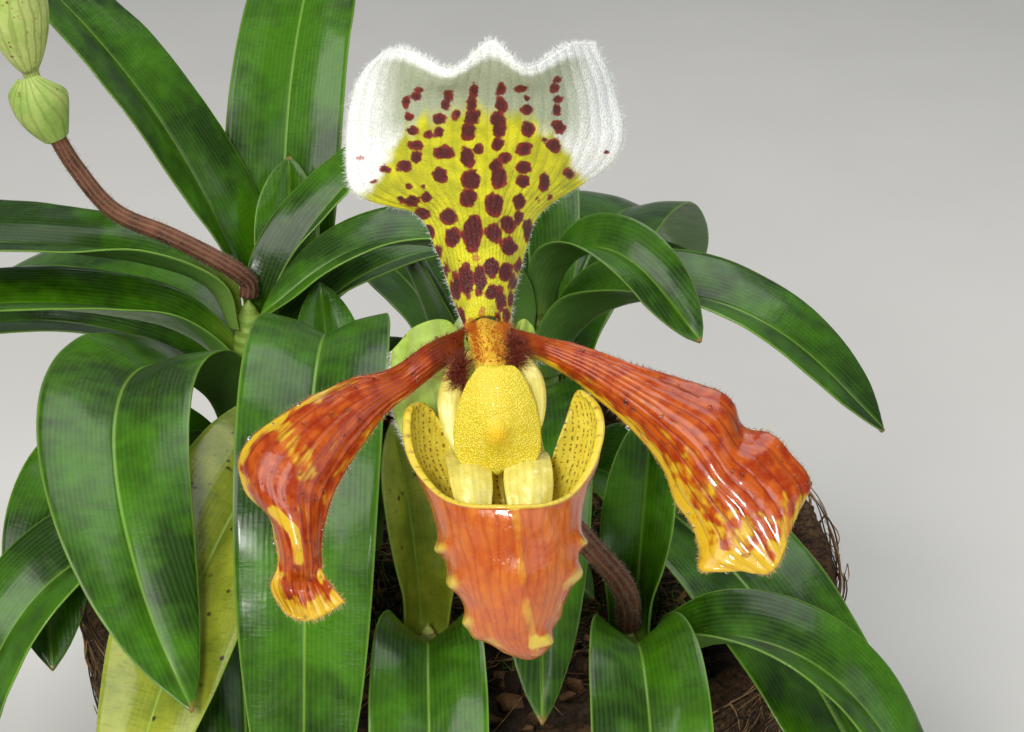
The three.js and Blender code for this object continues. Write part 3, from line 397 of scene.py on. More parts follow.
def dew(centre, count, seed, largest):
    """Flattened drops of water that lie on the front of a surface at random points: rings of a half sphere,
    lifted along the surface's normal and closed below."""
    rng = np.random.default_rng(seed)
    normal = upright(centre)
    normal = normal * np.sign((normal @ np.array([0, -1.0, 0.2])).sum())
    i, j = np.unravel_index(rng.integers(0, centre[..., 0].size, count), centre.shape[:2])
    up = normal[i, j]
    first = unit(np.cross(up, rng.normal(size=(count, 3))))
    second = np.cross(up, first)
    size = largest * rng.uniform(0.3, 1, count) ** 2 + 0.1
    lift, angle = np.radians([-40, 0, 35, 65]), 2 * np.pi * np.arange(9) / 9
    flat = first[:, None, None] * np.cos(angle)[:, None] + second[:, None, None] * np.sin(angle)[:, None]
    rings = flat * np.cos(lift)[:, None, None] + up[:, None, None] * (0.62 * np.sin(lift))[:, None, None]
    rings = (centre[i, j] + up * 0.5)[:, None, None] + rings * size[:, None, None, None]
    ends = ((centre[i, j] + up * 0.5)[:, None]
            + up[:, None] * (np.array([-0.42, 0.64]) * size[:, None])[..., None])
    index = np.arange(count * 36).reshape(count, 4, 9)
    following = np.roll(index, -1, axis=2)
    quads = np.stack([index[:, :-1], following[:, :-1], following[:, 1:], index[:, 1:]], -1).reshape(-1, 4)
    poles = count * 36 + np.arange(count * 2).reshape(count, 2)[..., None] + np.zeros(9, int)
    caps = np.concatenate([np.stack([poles[:, 0], following[:, 0], index[:, 0]], -1).reshape(-1, 3),
                           np.stack([poles[:, 1], index[:, -1], following[:, -1]], -1).reshape(-1, 3)])
    return np.concatenate([rings.reshape(-1, 3), ends.reshape(-1, 3)]), quads, caps


def in_flower(points):
    """Points of the flower's frame in the part's frame: leant back by the tilt, then moved to the centre."""
    x, y, z = np.moveaxis(np.asarray(points, float), -1, 0)
    c, s = math.cos(FLOWER_TILT), math.sin(FLOWER_TILT)
    return FLOWER_CENTRE + np.stack([x, c * y + s * z, c * z - s * y], -1)


def as_seen(points):
    """Where the viewer sees points of the flower's frame on the plane through its centre: x and z shrink
    towards the view's middle by the viewing distance over the distance to the point."""
    x, y, z = np.moveaxis(np.asarray(points, float), -1, 0)
    share = VIEW_DISTANCE / (VIEW_DISTANCE + y)
    return VIEW_SHIFT[0] + (x - VIEW_SHIFT[0]) * share, VIEW_SHIFT[2] + (z - VIEW_SHIFT[2]) * share


def brush(x, z, path, width):
    """1 on a line through the points of path, fading to 0 at the width from it."""
    nearest = np.full(np.shape(x), 1e9)
    for (ax, az), (bx, bz) in zip(path[:-1], path[1:]):
        dx, dz = bx - ax, bz - az
        t = np.clip(((x - ax) * dx + (z - az) * dz) / (dx * dx + dz * dz), 0, 1)
        nearest = np.minimum(nearest, np.hypot(x - ax - t * dx, z - az - t * dz))
    return 1 - ease(0.35 * width, width, nearest)


def piece(name, points, quads, triangles, finish, slot, replaced=(), **values):
    """A mesh object from points in millimetres, its faces turned outwards by the sign of its volume, with the
    named values on its points; it rides on the part and stands for the replaced nodes."""
    quads = np.asarray(quads, int).reshape(-1, 4)
    triangles = np.asarray(triangles, int).reshape(-1, 3)
    points = np.asarray(points, float)
    a, b, c = (points[np.concatenate([quads[:, [0, 1, 2]], quads[:, [0, 2, 3]], triangles])[:,
            i]] for i in range(3))
    if np.einsum("ij,ij->i", a, np.cross(b, c)).sum() < 0:
        quads, triangles = quads[:, ::-1], triangles[:, ::-1]
    mesh = bpy.data.meshes.new(name)
    mesh.vertices.add(len(points))
    mesh.vertices.foreach_set("co", (points * MM).astype(np.float32).ravel())
    corners = np.concatenate([quads.ravel(), triangles.ravel()]).astype(np.int32)
    mesh.loops.add(len(corners))
    mesh.loops.foreach_set("vertex_index", corners)
    sizes = np.concatenate([np.full(len(quads), 4), np.full(len(triangles), 3)])
    mesh.polygons.add(len(sizes))
    mesh.polygons.foreach_set("loop_start", np.concatenate([[0], np.cumsum(sizes)[:-1]]).astype(np.int32))
    mesh.polygons.foreach_set("use_smooth", np.ones(len(sizes), bool))
    mesh.update(calc_edges=True)
    for key, value in values.items():
        value = np.asarray(value, np.float32)
        kind, field = ("FLOAT", "value") if value.ndim == 1 else ("FLOAT_VECTOR", "vector")
        mesh.attributes.new(key, kind, "POINT").data.foreach_set(field, value.ravel())
    mesh.materials.append(finish)
    made = bpy.data.objects.new(name, mesh)
    bpy.context.scene.collection.objects.link(made)
    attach(made, "root")
    if replaced:
        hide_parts(*([replaced] if isinstance(replaced, str) else replaced))
    return made


class Nodes:
    """Writes a node tree as a formula: each call adds a node, feeds its inputs and gives its output."""

    def __init__(self, tree):
        self.tree = tree

    def feed(self, socket, value):
        if isinstance(value, bpy.types.NodeSocket):
            self.tree.links.new(value, socket)
        elif socket.type == "RGBA":
            socket.default_value = (*value[:3], 1)
        else:
            socket.default_value = value

    def add(self, kind, out=0, settings=(), **inputs):
        node = self.tree.nodes.new("ShaderNode" + kind)
        for key, value in dict(settings).items():
            setattr(node, key, value)
        for key, value in inputs.items():
            self.feed(node.inputs[key.replace("_", " ")], value)
        return node.outputs[out]

    def math(self, operation, *values):
        node = self.tree.nodes.new("ShaderNodeMath")
        node.operation = operation
        for socket, value in zip(node.inputs, values):
            self.feed(socket, value)
        return node.outputs[0]

    def times(self, a, b):
        """One value times another."""
        return self.math("MULTIPLY", a, b)

    def step(self, value, start, end, low=0.0, high=1.0):
        return self.add("MapRange", 0, {"interpolation_type": "SMOOTHSTEP"}, Value=value, From_Min=start,
                        From_Max=end, To_Min=low, To_Max=high)

    def mix(self, factor, a, b, blend="MIX"):
        node = self.tree.nodes.new("ShaderNodeMix")
        node.data_type, node.blend_type = "RGBA", blend
        for index, value in ((0, factor), (6, a), (7, b)):
            self.feed(node.inputs[index], value)
        return node.outputs[2]

    def attribute(self, name):
        """The three parts of a vector kept on the points."""
        parts = self.tree.nodes.new("ShaderNodeSeparateXYZ")
        self.feed(parts.inputs[0], self.add("Attribute", 1, {"attribute_name": name}))
        return parts.outputs

    def vector(self, x, y, z):
        return self.add("CombineXYZ", X=x, Y=y, Z=z)

    def noise(self, vector, size, detail=3.0, roughness=0.5, distortion=0.0):
        """Noise whose features are about size millimetres."""
        return self.add("TexNoise", Vector=vector, Scale=1000 / size, Detail=detail, Roughness=roughness,
                        Distortion=distortion)

    def group(self, name, out=0, **inputs):
        node = self.tree.nodes.new("ShaderNodeGroup")
        node.node_tree = bpy.data.node_groups.get(name) or GROUPS[name](name)
        for key, value in inputs.items():
            self.feed(node.inputs[key.replace("_", " ")], value)
        return node.outputs[out]


class Finish(Nodes):
    """A material with its shader; constant settings go straight on the shader's sockets."""

    def __init__(self, name, **constants):
        self.material = bpy.data.materials.new(name)
        self.material.use_nodes = True
        super().__init__(self.material.node_tree)
        self.shader = self.tree.nodes["Principled BSDF"]
        self.place = self.add("TexCoord", 3)
        self.set(**constants)

    def set(self, **values):
        for key, value in values.items():
            self.feed(self.shader.inputs[key.replace("_", " ")], value)
        return self.material

    def relief(self, height, depth, normal=None):
        """A bump of this depth in millimetres for heights from 0 to 1, over another bump if given."""
        inputs = {"Height": height, "Distance": depth * MM, "Strength": 1.0}
        if normal is not None:
            inputs["Normal"] = normal
        return self.add("Bump", **inputs)


def new_group(name, inputs, outputs):
    """An empty node group with its sockets, and the writers for its nodes."""
    tree = bpy.data.node_groups.new(name, "ShaderNodeTree")
    for title, kind, value in inputs:
        made = tree.interface.new_socket(name=title, in_out="INPUT", socket_type="NodeSocket" + kind)
        if value is not None:
            made.default_value = value
    for title, kind in outputs:
        tree.interface.new_socket(name=title, in_out="OUTPUT", socket_type="NodeSocket" + kind)
    return tree, Nodes(tree), tree.nodes.new("NodeGroupInput").outputs, tree.nodes.new("NodeGroupOutput").inputs


def tone_patches(name):
    """Soft uneven patches from 0 to 1: coarse noise with a third of finer noise, with its middle stretched."""
    tree, n, source, result = new_group(
        name, [("Vector", "Vector", None), ("Size", "Float", 20.0), ("Contrast", "Float", 1.0)],
        [("Mask", "Float")])
    scale = n.math("DIVIDE", 1000.0, source["Size"])
    coarse = n.add("TexNoise", Vector=source["Vector"], Scale=scale, Detail=3.0)
    fine = n.add("TexNoise", Vector=source["Vector"], Scale=n.times(scale, 5.3), Detail=2.0)
    both = n.math("MULTIPLY_ADD", n.math("SUBTRACT", fine, 0.5), 0.35, n.math("SUBTRACT", coarse, 0.5))
    n.feed(result["Mask"], n.math("ADD", n.times(both, n.times(source["Contrast"], 2.6)),
                                  0.5))
    return tree


def long_veins(name):
    """Lines that run along a surface: the distance across, in spacings, to the nearest whole number, with a
    little wander from noise; 1 on the line, 0 beyond the width."""
    tree, n, source, result = new_group(
        name, [("Across", "Float", 0.0), ("Along", "Float", 0.0), ("Spacing", "Float", 1.5),
               ("Width", "Float", 0.3), ("Wander", "Float", 0.2), ("Seed", "Float", 0.0)],
        [("Mask", "Float"), ("Wave", "Float")])
    place = n.vector(n.times(source["Across"], 0.4), n.times(source["Along"], 0.07),
                     source["Seed"])
    wander = n.math("SUBTRACT", n.add("TexNoise", Vector=place, Scale=1.0, Detail=2.0), 0.5)
    count = n.math("ADD", n.math("DIVIDE", source["Across"], source["Spacing"]),
                   n.times(wander, n.times(source["Wander"], 4.0)))
    off = n.math("ABSOLUTE", n.math("SUBTRACT", count, n.math("ROUND", count)))
    n.feed(result["Mask"], n.step(off, source["Width"], 0.0))
    n.feed(result["Wave"], n.math("MULTIPLY_ADD", off, -2.0, 1.0))
    return tree


def fine_papillae(name):
    """Tiny rounded warts: one minus the distance to the nearest of scattered points, rounded."""
    tree, n, source, result = new_group(
        name, [("Vector", "Vector", None), ("Size", "Float", 0.4)], [("Height", "Float")])
    near = n.add("TexVoronoi", Vector=source["Vector"], Scale=n.math("DIVIDE", 1000.0, source["Size"]))
    n.feed(result["Height"], n.step(near, 0.75, 0.0))
    return tree


GROUPS = {"tone_patches": tone_patches, "long_veins": long_veins, "fine_papillae": fine_papillae}


def leaf_finish(name, old=False):
    """Glossy green strap: fine parallel veins, a pale midrib, a paler underside and sheath, and patches of
    tone; an old leaf is yellower with dark specks."""
    sizes = bpy.context.scene.orchid_leaves
    f = Finish(name, Specular_IOR_Level=0.2, Coat_Roughness=0.16, Subsurface_Weight=0.12,
               Subsurface_Radius=(0.4, 1.0, 0.15), Subsurface_Scale=0.002)
    across, along, side = f.attribute("place")
    share, out, seed = f.attribute("blade")
    green = f.mix(f.group("tone_patches", Vector=f.place, Size=30.0, Contrast=1.5), sizes.dark_green,
                  sizes.light_green)
    dark, light = (tint("66761c"), tint("a3a832")) if old else (None, None)
    if old:
        green = f.mix(f.group("tone_patches", Vector=f.place, Size=22.0), dark, light)
    veins = f.group("long_veins", 1, Across=across, Along=along, Spacing=1.25, Wander=0.25, Seed=seed)
    green = f.mix(f.times(f.step(veins, 0.2, 1.0), 0.1), green, tint("6f9a28"))
    cross = f.noise(f.vector(f.times(across, 0.0004), f.times(along, 0.0016), seed),
                    1.2, 2.0)
    green = f.mix(f.step(cross, 0.52, 0.7, 0.0, 0.25), green, tint("244d0d"))
    rib = f.step(f.math("ABSOLUTE", across), 1.1, 0.15)
    green = f.mix(f.times(rib, 0.5), green, tint("86b043"))
    green = f.mix(f.step(share, 0.16, 0.0, 0.0, 0.75), green, tint("8fa03c"))
    green = f.mix(f.step(out, 0.95, 1.0, 0.0, 0.45), green, tint("8fb24a"))
    green = f.mix(f.step(side, 0.45, 0.05, 0.0, 0.7), green, tint("5f8440"))
    if old:
        specks = f.step(f.add("TexVoronoi", Vector=f.place, Scale=330.0, Randomness=1.0), 0.3, 0.12)
        sparse = f.step(f.noise(f.place, 9.0, 2.0), 0.5, 0.62)
        green = f.mix(f.times(specks, sparse), green, tint("3c2f14"))
    dry = f.step(f.math("MULTIPLY_ADD", f.noise(f.place, 5.0), 0.03, share), 1.0, 1.016)
    green = f.mix(dry, green, tint("8a6a35"))
    grain = f.relief(f.step(veins, 0.0, 1.0), 0.03, f.relief(cross, 0.1))
    return f.set(Base_Color=green, Normal=f.relief(f.noise(f.place, 7.0, 2.0), 0.5, grain),
                 Roughness=f.step(f.noise(f.place, 6.0), 0.3, 0.7, 0.3, 0.42),
                 Coat_Weight=f.step(side, 0.2, 0.8, 0.0, 0.35))


def stem_finish(name):
    """Pale green stem with rings left by old sheaths, browner towards the filling."""
    f = Finish(name, Specular_IOR_Level=0.4)
    height, _, _ = f.attribute("place")
    rings = f.math("SINE", f.times(height, 2.1))
    colour = f.mix(f.group("tone_patches", Vector=f.place, Size=6.0), tint("7f9a3c"), tint("b8b660"))
    colour = f.mix(f.step(rings, 0.75, 1.0, 0.0, 0.6), colour, tint("6b5228"))
    colour = f.mix(f.step(height, 16.0, 30.0, 0.0, 0.6), colour, tint("6f9a34"))
    colour = f.mix(f.step(f.math("ADD", height, f.times(f.noise(f.place, 3.0), 6.0)), 5.0, 1.0),
                   colour, tint("5a3f24"))
    return f.set(Base_Color=colour, Roughness=f.step(f.noise(f.place, 2.0), 0.3, 0.7, 0.4, 0.6),
                 Normal=f.relief(rings, 0.15, f.relief(f.noise(f.place, 1.5), 0.2)))


def fibre_finish(name, loose=False):
    """Matted brown fibre: streaks of tan and near black with dry, hairy relief; loose strands each have
    their own tone."""
    sizes = bpy.context.scene.orchid_pot
    f = Finish(name, Specular_IOR_Level=0.25)
    streaks = f.noise(f.place, 2.2, 6.0, 0.7, 1.2)
    patches = f.group("tone_patches", Vector=f.place, Size=18.0)
    colour = f.mix(f.step(streaks, 0.36, 0.66), sizes.dark_fibre, sizes.light_fibre)
    if loose:
        tone, along, _ = f.attribute("place")
        colour = f.mix(f.step(tone, 0.0, 1.0), sizes.dark_fibre, tint("a9875a"))
        colour = f.mix(f.step(f.noise(f.place, 1.2), 0.35, 0.7, 0.0, 0.5), colour, tint("3a2616"))
        return f.set(Base_Color=colour, Roughness=f.step(tone, 0.0, 1.0, 0.6, 0.85))
    colour = f.mix(f.times(patches, 0.5), colour, tint("3b2a1c"))
    return f.set(Base_Color=colour, Roughness=f.step(streaks, 0.3, 0.7, 0.95, 0.75),
                 Normal=f.relief(streaks, 1.6, f.relief(f.noise(f.place, 0.7, 3.0, 0.6, 2.0), 0.5)))


def mix_finish(name, kind):
    """Potting mix: crumbs of bark and fibre, chips of bark with a light cut face, or moss."""
    low, high = {"crumb": ("1d130b", "54402a"), "chip": ("2e1c10", "8a6440"),
                 "moss": ("2f4a12", "86a83a")}[kind]
    f = Finish(name, Specular_IOR_Level=0.3)
    tone, along, _ = f.attribute("place")
    grain = f.noise(f.place, 1.6 if kind == "crumb" else 0.9, 5.0, 0.65)
    colour = f.mix(f.step(f.math("MULTIPLY_ADD", grain, 0.8, f.math("MULTIPLY_ADD", tone, 0.7, -0.35)), 0.2,
            0.8),
                   tint(low), tint(high))
    return f.set(Base_Color=colour, Roughness=f.step(grain, 0.3, 0.7, 0.9, 0.65), Normal=f.relief(grain, 0.7))


def dorsal_finish(name):
    """White sepal flushed lime-yellow, with green veins, deep maroon spots whose edges are ragged by noise,
    silvery papillae, and painted grey-green shade under its forward-arching top."""
    colours = bpy.context.scene.orchid_flower
    f = Finish(name, Specular_IOR_Level=0.45, Coat_Roughness=0.3, Subsurface_Weight=0.25,
               Subsurface_Radius=(0.8, 0.8, 0.5), Subsurface_Scale=0.0015)
    across, along, side = f.attribute("place")
    spot, yellow, faint = f.attribute("paint")
    shade, _, _ = f.attribute("shade")
    ragged = f.math("MULTIPLY_ADD", f.math("SUBTRACT", f.noise(f.place, 0.8, 4.0, 0.6), 0.5), 0.7,
                    f.times(f.math("SUBTRACT", f.noise(f.place, 2.4, 2.0), 0.5), 1.9))
    flush = f.step(f.math("MULTIPLY_ADD", f.math("SUBTRACT", f.noise(f.place, 3.0), 0.5), 0.7, yellow), 0.05,
                   0.9)
    silver = f.noise(f.place, 0.4, 3.0, 0.7)
    white = f.mix(f.step(silver, 0.35, 0.65), tint("d3d7cf"), tint("fdfdf9"))
    # Painted shade: grey-green laid over the white where the arching top lip shadows the upper middle.
    white = f.mix(f.times(shade, 0.8), white, tint("7f8a5e"))
    base = f.mix(flush, white, f.mix(f.step(f.noise(f.place, 4.0), 0.3, 0.7), tint("a9a80e"), colours.lime))
    veins = f.group("long_veins", Across=f.times(across, 24.0), Along=along, Spacing=1.0, Width=0.2,
                    Wander=0.12)
    base = f.mix(f.times(veins, f.math("MULTIPLY_ADD", flush, 0.14, 0.04)), base, tint("75801a"))
    base = f.mix(f.step(side, 0.4, 0.1, 0.0, 0.6), base, tint("cfd6a4"))
    edge = f.math("ADD", spot, ragged)
    mark = f.times(f.step(edge, 0.38, -0.02), f.step(side, 0.1, 0.6, 0.25, 1.0))
    maroon = f.mix(f.step(f.math("MULTIPLY_ADD", f.noise(f.place, 1.1, 3.0), 1.6, spot), 0.2, 1.1),
                   colours.spot, tint("7a1c10"))
    base = f.mix(f.times(f.step(f.math("ADD", faint, ragged), 0.3, -0.2), 0.7), base, tint("a5482a"))
    base = f.mix(mark, base, maroon)
    warts = f.group("fine_papillae", Vector=f.place, Size=0.45)
    return f.set(Base_Color=base, Roughness=f.step(silver, 0.3, 0.7, 0.5, 0.34),
                 Coat_Weight=f.step(warts, 0.3, 1.0, 0.0, 0.4),
                 Normal=f.relief(warts, 0.09, f.relief(f.times(veins, -1.0), 0.05)))


def petal_finish(name, count):
    """Glossy orange-brown petal with dark red veins from base to tip, gold at its margin."""
    colours = bpy.context.scene.orchid_flower
    f = Finish(name, Specular_IOR_Level=0.25, Coat_Roughness=0.06, Subsurface_Weight=0.1,
               Subsurface_Radius=(1.0, 0.4, 0.1), Subsurface_Scale=0.001)
    across, along, side = f.attribute("place")
    gold, dark, _ = f.attribute("paint")
    patches = f.noise(f.place, 2.6, 3.0)
    ground = f.mix(f.step(patches, 0.35, 0.65), colours.petal, tint("b14f06"))
    cells = f.add("TexNoise", Vector=f.vector(f.times(across, float(count)), f.times(along, 0.16), 0.0),
                  Scale=1.3, Detail=2.0)
    flush = f.step(f.math("MULTIPLY_ADD", f.math("SUBTRACT", cells, 0.5), 2.2, gold), 0.25, 0.85)
    ground = f.mix(flush, ground, colours.gold)
    veins = f.group("long_veins", Across=f.times(across, float(count)), Along=along, Spacing=1.0,
                    Width=0.2, Wander=0.16)
    strength = f.times(f.step(gold, 0.95, 0.5, 0.2, 0.75), f.step(side, 0.1, 0.6, 0.5, 1.0))
    fine = f.group("long_veins", Across=f.times(across, count * 3.0), Along=along, Spacing=1.0,
                   Width=0.3, Wander=0.5, Seed=4.0)
    ground = f.mix(f.times(fine, f.times(strength, 0.3)), ground, tint("8a2408"))
    ground = f.mix(f.times(veins, f.times(strength, 0.75)), ground, tint("7a1c05"))
    ground = f.mix(f.times(dark, 0.75), ground, tint("4a1009"))
    relief = f.relief(f.times(veins, -1.0), 0.07, f.relief(f.noise(f.place, 2.0, 3.0), 0.2))
    return f.set(Base_Color=ground, Normal=relief, Roughness=f.step(patches, 0.3, 0.7, 0.26, 0.4),
                 Coat_Weight=f.step(side, 0.2, 0.8, 0.05, 0.4))


def pouch_finish(name):
    """Waxy orange-brown slipper: darker upright veins with a net between them, yellow rim and warts, a gold
    painted highlight down the keel, and a yellow inside dotted maroon."""
    colours = bpy.context.scene.orchid_flower
    f = Finish(name, Specular_IOR_Level=0.35, Coat_Roughness=0.08, Subsurface_Weight=0.12,
               Subsurface_Radius=(1.2, 0.5, 0.15), Subsurface_Scale=0.0015)
    angle, height, side = f.attribute("place")
    gold, inside, _ = f.attribute("paint")
    patches = f.noise(f.place, 5.0, 3.0, 0.55)
    ground = f.mix(f.step(patches, 0.3, 0.7), colours.pouch, tint("c4691c"))
    tall = f.vector(f.times(angle, 0.05), f.times(height, 0.00042), f.times(f.noise(f.place, 4.0), 0.004))
    net = f.add("TexVoronoi", 0, {"feature": "DISTANCE_TO_EDGE"}, Vector=tall, Scale=520.0)
    ground = f.mix(f.step(net, 0.16, 0.0, 0.0, 0.16), ground, tint("8a3210"))
    veins = f.group("long_veins", Across=f.times(angle, 17.0), Along=height, Spacing=1.0, Width=0.3,
                    Wander=0.7)
    ground = f.mix(f.times(veins, 0.35), ground, tint("86290c"))
    # The gold mask: rim, warts and blotches in yellow, and down the keel a painted highlight.
    ragged = f.math("MULTIPLY_ADD", f.math("SUBTRACT", patches, 0.5), 0.6, gold)
    ground = f.mix(f.step(ragged, 0.25, 0.75), ground, colours.pouch_gold_and_highlight)
    inner = f.mix(f.noise(f.place, 3.0), tint("cdb41c"), tint("f0e25a"))
    lines = f.group("long_veins", Across=f.times(angle, 30.0), Along=height, Spacing=1.0, Width=0.3,
                    Wander=0.15)
    dots = f.step(f.add("TexNoise", Vector=f.vector(f.times(angle, 30.0), f.times(height, 1.3), 0.0),
                        Scale=1.0, Detail=1.0), 0.48, 0.56)
    inner = f.mix(f.times(f.times(dots, lines), 0.85), inner, tint("6b2410"))
    ground = f.mix(inside, ground, inner)
    relief = f.relief(f.step(net, 0.0, 0.25), 0.05, f.relief(f.noise(f.place, 2.0, 4.0), 0.26))
    return f.set(Base_Color=ground, Normal=relief, Roughness=f.step(patches, 0.3, 0.7, 0.22, 0.36),
                 Coat_Weight=f.step(inside, 1.0, 0.0, 0.15, 0.5))


def soft_green_finish(name, base, dots, streak, rough=0.5):
    """Pale green tissue with fine long streaks and brown dots."""
    f = Finish(name, Specular_IOR_Level=0.4, Subsurface_Weight=0.2, Subsurface_Radius=(0.6, 0.8, 0.3),
               Subsurface_Scale=0.0015)
    across, along, side = f.attribute("place")
    colour = f.mix(f.group("tone_patches", Vector=f.place, Size=6.0), tint(base), tint(streak))
    veins = f.group("long_veins", Across=f.times(across, 9.0), Along=along, Spacing=1.0, Width=0.25)
    colour = f.mix(f.times(veins, 0.45), colour, tint("7f8b3d"))
    marks = f.step(f.add("TexVoronoi", Vector=f.place, Scale=520.0), 0.3, 0.12)
    some = f.step(f.noise(f.place, 7.0), 0.45, 0.6)
    colour = f.mix(f.times(marks, some), colour, tint(dots))
    return f.set(Base_Color=colour, Roughness=f.step(f.noise(f.place, 3.0), 0.3, 0.7, rough, rough + 0.12),
                 Normal=f.relief(veins, 0.12, f.relief(f.noise(f.place, 1.0), 0.15)))


def column_finish(name):
    """Yellow staminode covered in papillae, orange on its boss, on a cream column dotted red."""
    f = Finish(name, Specular_IOR_Level=0.5, Coat_Roughness=0.15, Subsurface_Weight=0.2,
               Subsurface_Radius=(1.0, 0.7, 0.2), Subsurface_Scale=0.001)
    boss, rod, _ = f.attribute("paint")
    warts = f.group("fine_papillae", Vector=f.place, Size=0.36)
    yellow = f.mix(warts, tint("cdb410"), tint("f6ec5e"))
    yellow = f.mix(f.times(boss, 0.85), yellow, tint("ecbc0c"))
    cream = f.mix(f.noise(f.place, 2.0), tint("e0a818"), tint("f4d64c"))
    dots = f.step(f.add("TexVoronoi", Vector=f.place, Scale=900.0), 0.4, 0.2)
    cream = f.mix(f.times(dots, 0.8), cream, tint("b03a14"))
    return f.set(Base_Color=f.mix(rod, yellow, cream), Roughness=f.step(warts, 0.0, 1.0, 0.45, 0.22),
                 Coat_Weight=f.step(warts, 0.4, 1.0, 0.0, 0.6), Normal=f.relief(warts, 0.16))


def flank_finish(name):
    """Cream, faintly translucent lobe with pale green streaks."""
    f = Finish(name, Specular_IOR_Level=0.5, Coat_Roughness=0.15, Subsurface_Weight=0.25,
               Subsurface_Radius=(1.0, 0.8, 0.3), Subsurface_Scale=0.0015)
    angle, along, _ = f.attribute("place")
    streak = f.group("long_veins", Across=f.times(angle, 7.0), Along=along, Spacing=1.0, Width=0.35)
    colour = f.mix(f.noise(f.place, 2.5), tint("c9b73a"), tint("efe489"))
    colour = f.mix(f.times(streak, 0.3), colour, tint("a8a83c"))
    return f.set(Base_Color=colour, Normal=f.relief(f.noise(f.place, 1.2), 0.2),
                 Roughness=f.step(f.noise(f.place, 1.5), 0.3, 0.7, 0.2, 0.38),
                 Coat_Weight=f.step(streak, 1.0, 0.0, 0.2, 0.7))


def scape_finish(name):
    """Downy purple-brown stalk, greener where it is young, with fine long ribs."""
    f = Finish(name, Specular_IOR_Level=0.3)
    angle, along, _ = f.attribute("place")
    colour = f.mix(f.group("tone_patches", Vector=f.place, Size=5.0), tint("4b2620"), tint("7a4638"))
    ribs = f.group("long_veins", Across=f.times(angle, 5.0), Along=along, Spacing=1.0, Width=0.4)
    colour = f.mix(f.times(ribs, 0.4), colour, tint("8a7a4c"))
    return f.set(Base_Color=colour, Roughness=f.step(f.noise(f.place, 1.0), 0.3, 0.7, 0.6, 0.8),
                 Normal=f.relief(ribs, 0.15, f.relief(f.noise(f.place, 0.5), 0.2)))


def dew_finish():
    """Clear water with the faintest unevenness, made once."""
    found = bpy.data.materials.get("dew")
    if found:
        return found
    f = Finish("dew", Transmission_Weight=1.0, IOR=1.33)
    return f.set(Base_Color=f.mix(f.noise(f.place, 1.0), tint("fafcfc"), tint("ffffff")),
                 Roughness=f.step(f.noise(f.place, 0.6), 0.3, 0.7, 0.01, 0.05))


def hair_finish(name, low, high):
    """Fine hair with its own tone for each strand and a darker root."""
    f = Finish(name, Specular_IOR_Level=0.4)
    tone, along, _ = f.attribute("place")
    return f.set(Base_Color=f.mix(f.math("MULTIPLY_ADD", along, 0.3, f.times(tone, 0.7)), tint(low),
                                  tint(high)), Roughness=f.step(tone, 0.0, 1.0, 0.35, 0.6))


def place_of(*parts):
    """Values side by side, one row for each point."""
    return np.stack(np.broadcast_arrays(*parts), -1)


def strand_values(count, steps, seed):
    """For the points of strands: a random tone for the strand, the way along it, and nothing."""
    tone = np.random.default_rng(seed).uniform(0, 1, (count, 1, 1))
    tone, way = np.broadcast_arrays(tone, np.linspace(0, 1, steps)[None, :, None] + np.zeros((1, 1, 3)))
    return place_of(tone.ravel(), way.ravel(), np.zeros(tone.size))


def rounded(across, reach):
    """1 inside, falling as a quarter circle to 0 over the reach at either end of 0 to 1."""
    edge = np.clip(np.minimum(across, 1 - across) / reach, 0, 1)
    return np.sqrt(1 - (1 - edge) ** 2)


def spaced(count, first):
    """Places from 0 to 1: even, with two closer ones at each end for a rounded edge."""
    return np.concatenate([[0, first * 0.3, first], np.linspace(first * 2.5, 1 - first * 2.5, count),
                           [1 - first, 1 - first * 0.3, 1]])


def mix_height(x, y):
    """Height of the filling: heaped in the middle, with lumps that die out at the wall, as in the part."""
    rim = POT_BASE_RADIUS - POT_WALL + (POT_RIM_RADIUS - POT_BASE_RADIUS) * MIX_RIM_HEIGHT / POT_HEIGHT
    reach = np.hypot(x, y) / rim
    lumps = LUMP_HEIGHT * np.sin(x / 7 + 1.3 * np.sin(y / 9)) * np.cos(y / 6 - x / 19)
    return MIX_RIM_HEIGHT + MIX_CROWN * (1 - reach**2) + lumps * (1 - reach**6)


def pot_outer(z):
    """Radius of the pot's outside at a height: straight from base to rim."""
    return POT_BASE_RADIUS + (POT_RIM_RADIUS - POT_BASE_RADIUS) * z / POT_HEIGHT


def growth_sizes(name):
    """A growth's foot on the filling, and its stem's height above that."""
    (x, y, radius, spacing), leaves = GROWTHS[name]
    foot = mix_height(x, y) + LUMP_HEIGHT
    return x, y, radius, spacing, foot, FIRST_LEAF + spacing * (len(leaves) - 1) + STEM_TIP


def stem_radius(name, height):
    """A stem's radius: it loses the taper's share evenly by its top."""
    _, _, radius, _, _, tall = growth_sizes(name)
    return radius * (1 - STEM_TAPER * np.clip(height / tall, 0, 1))


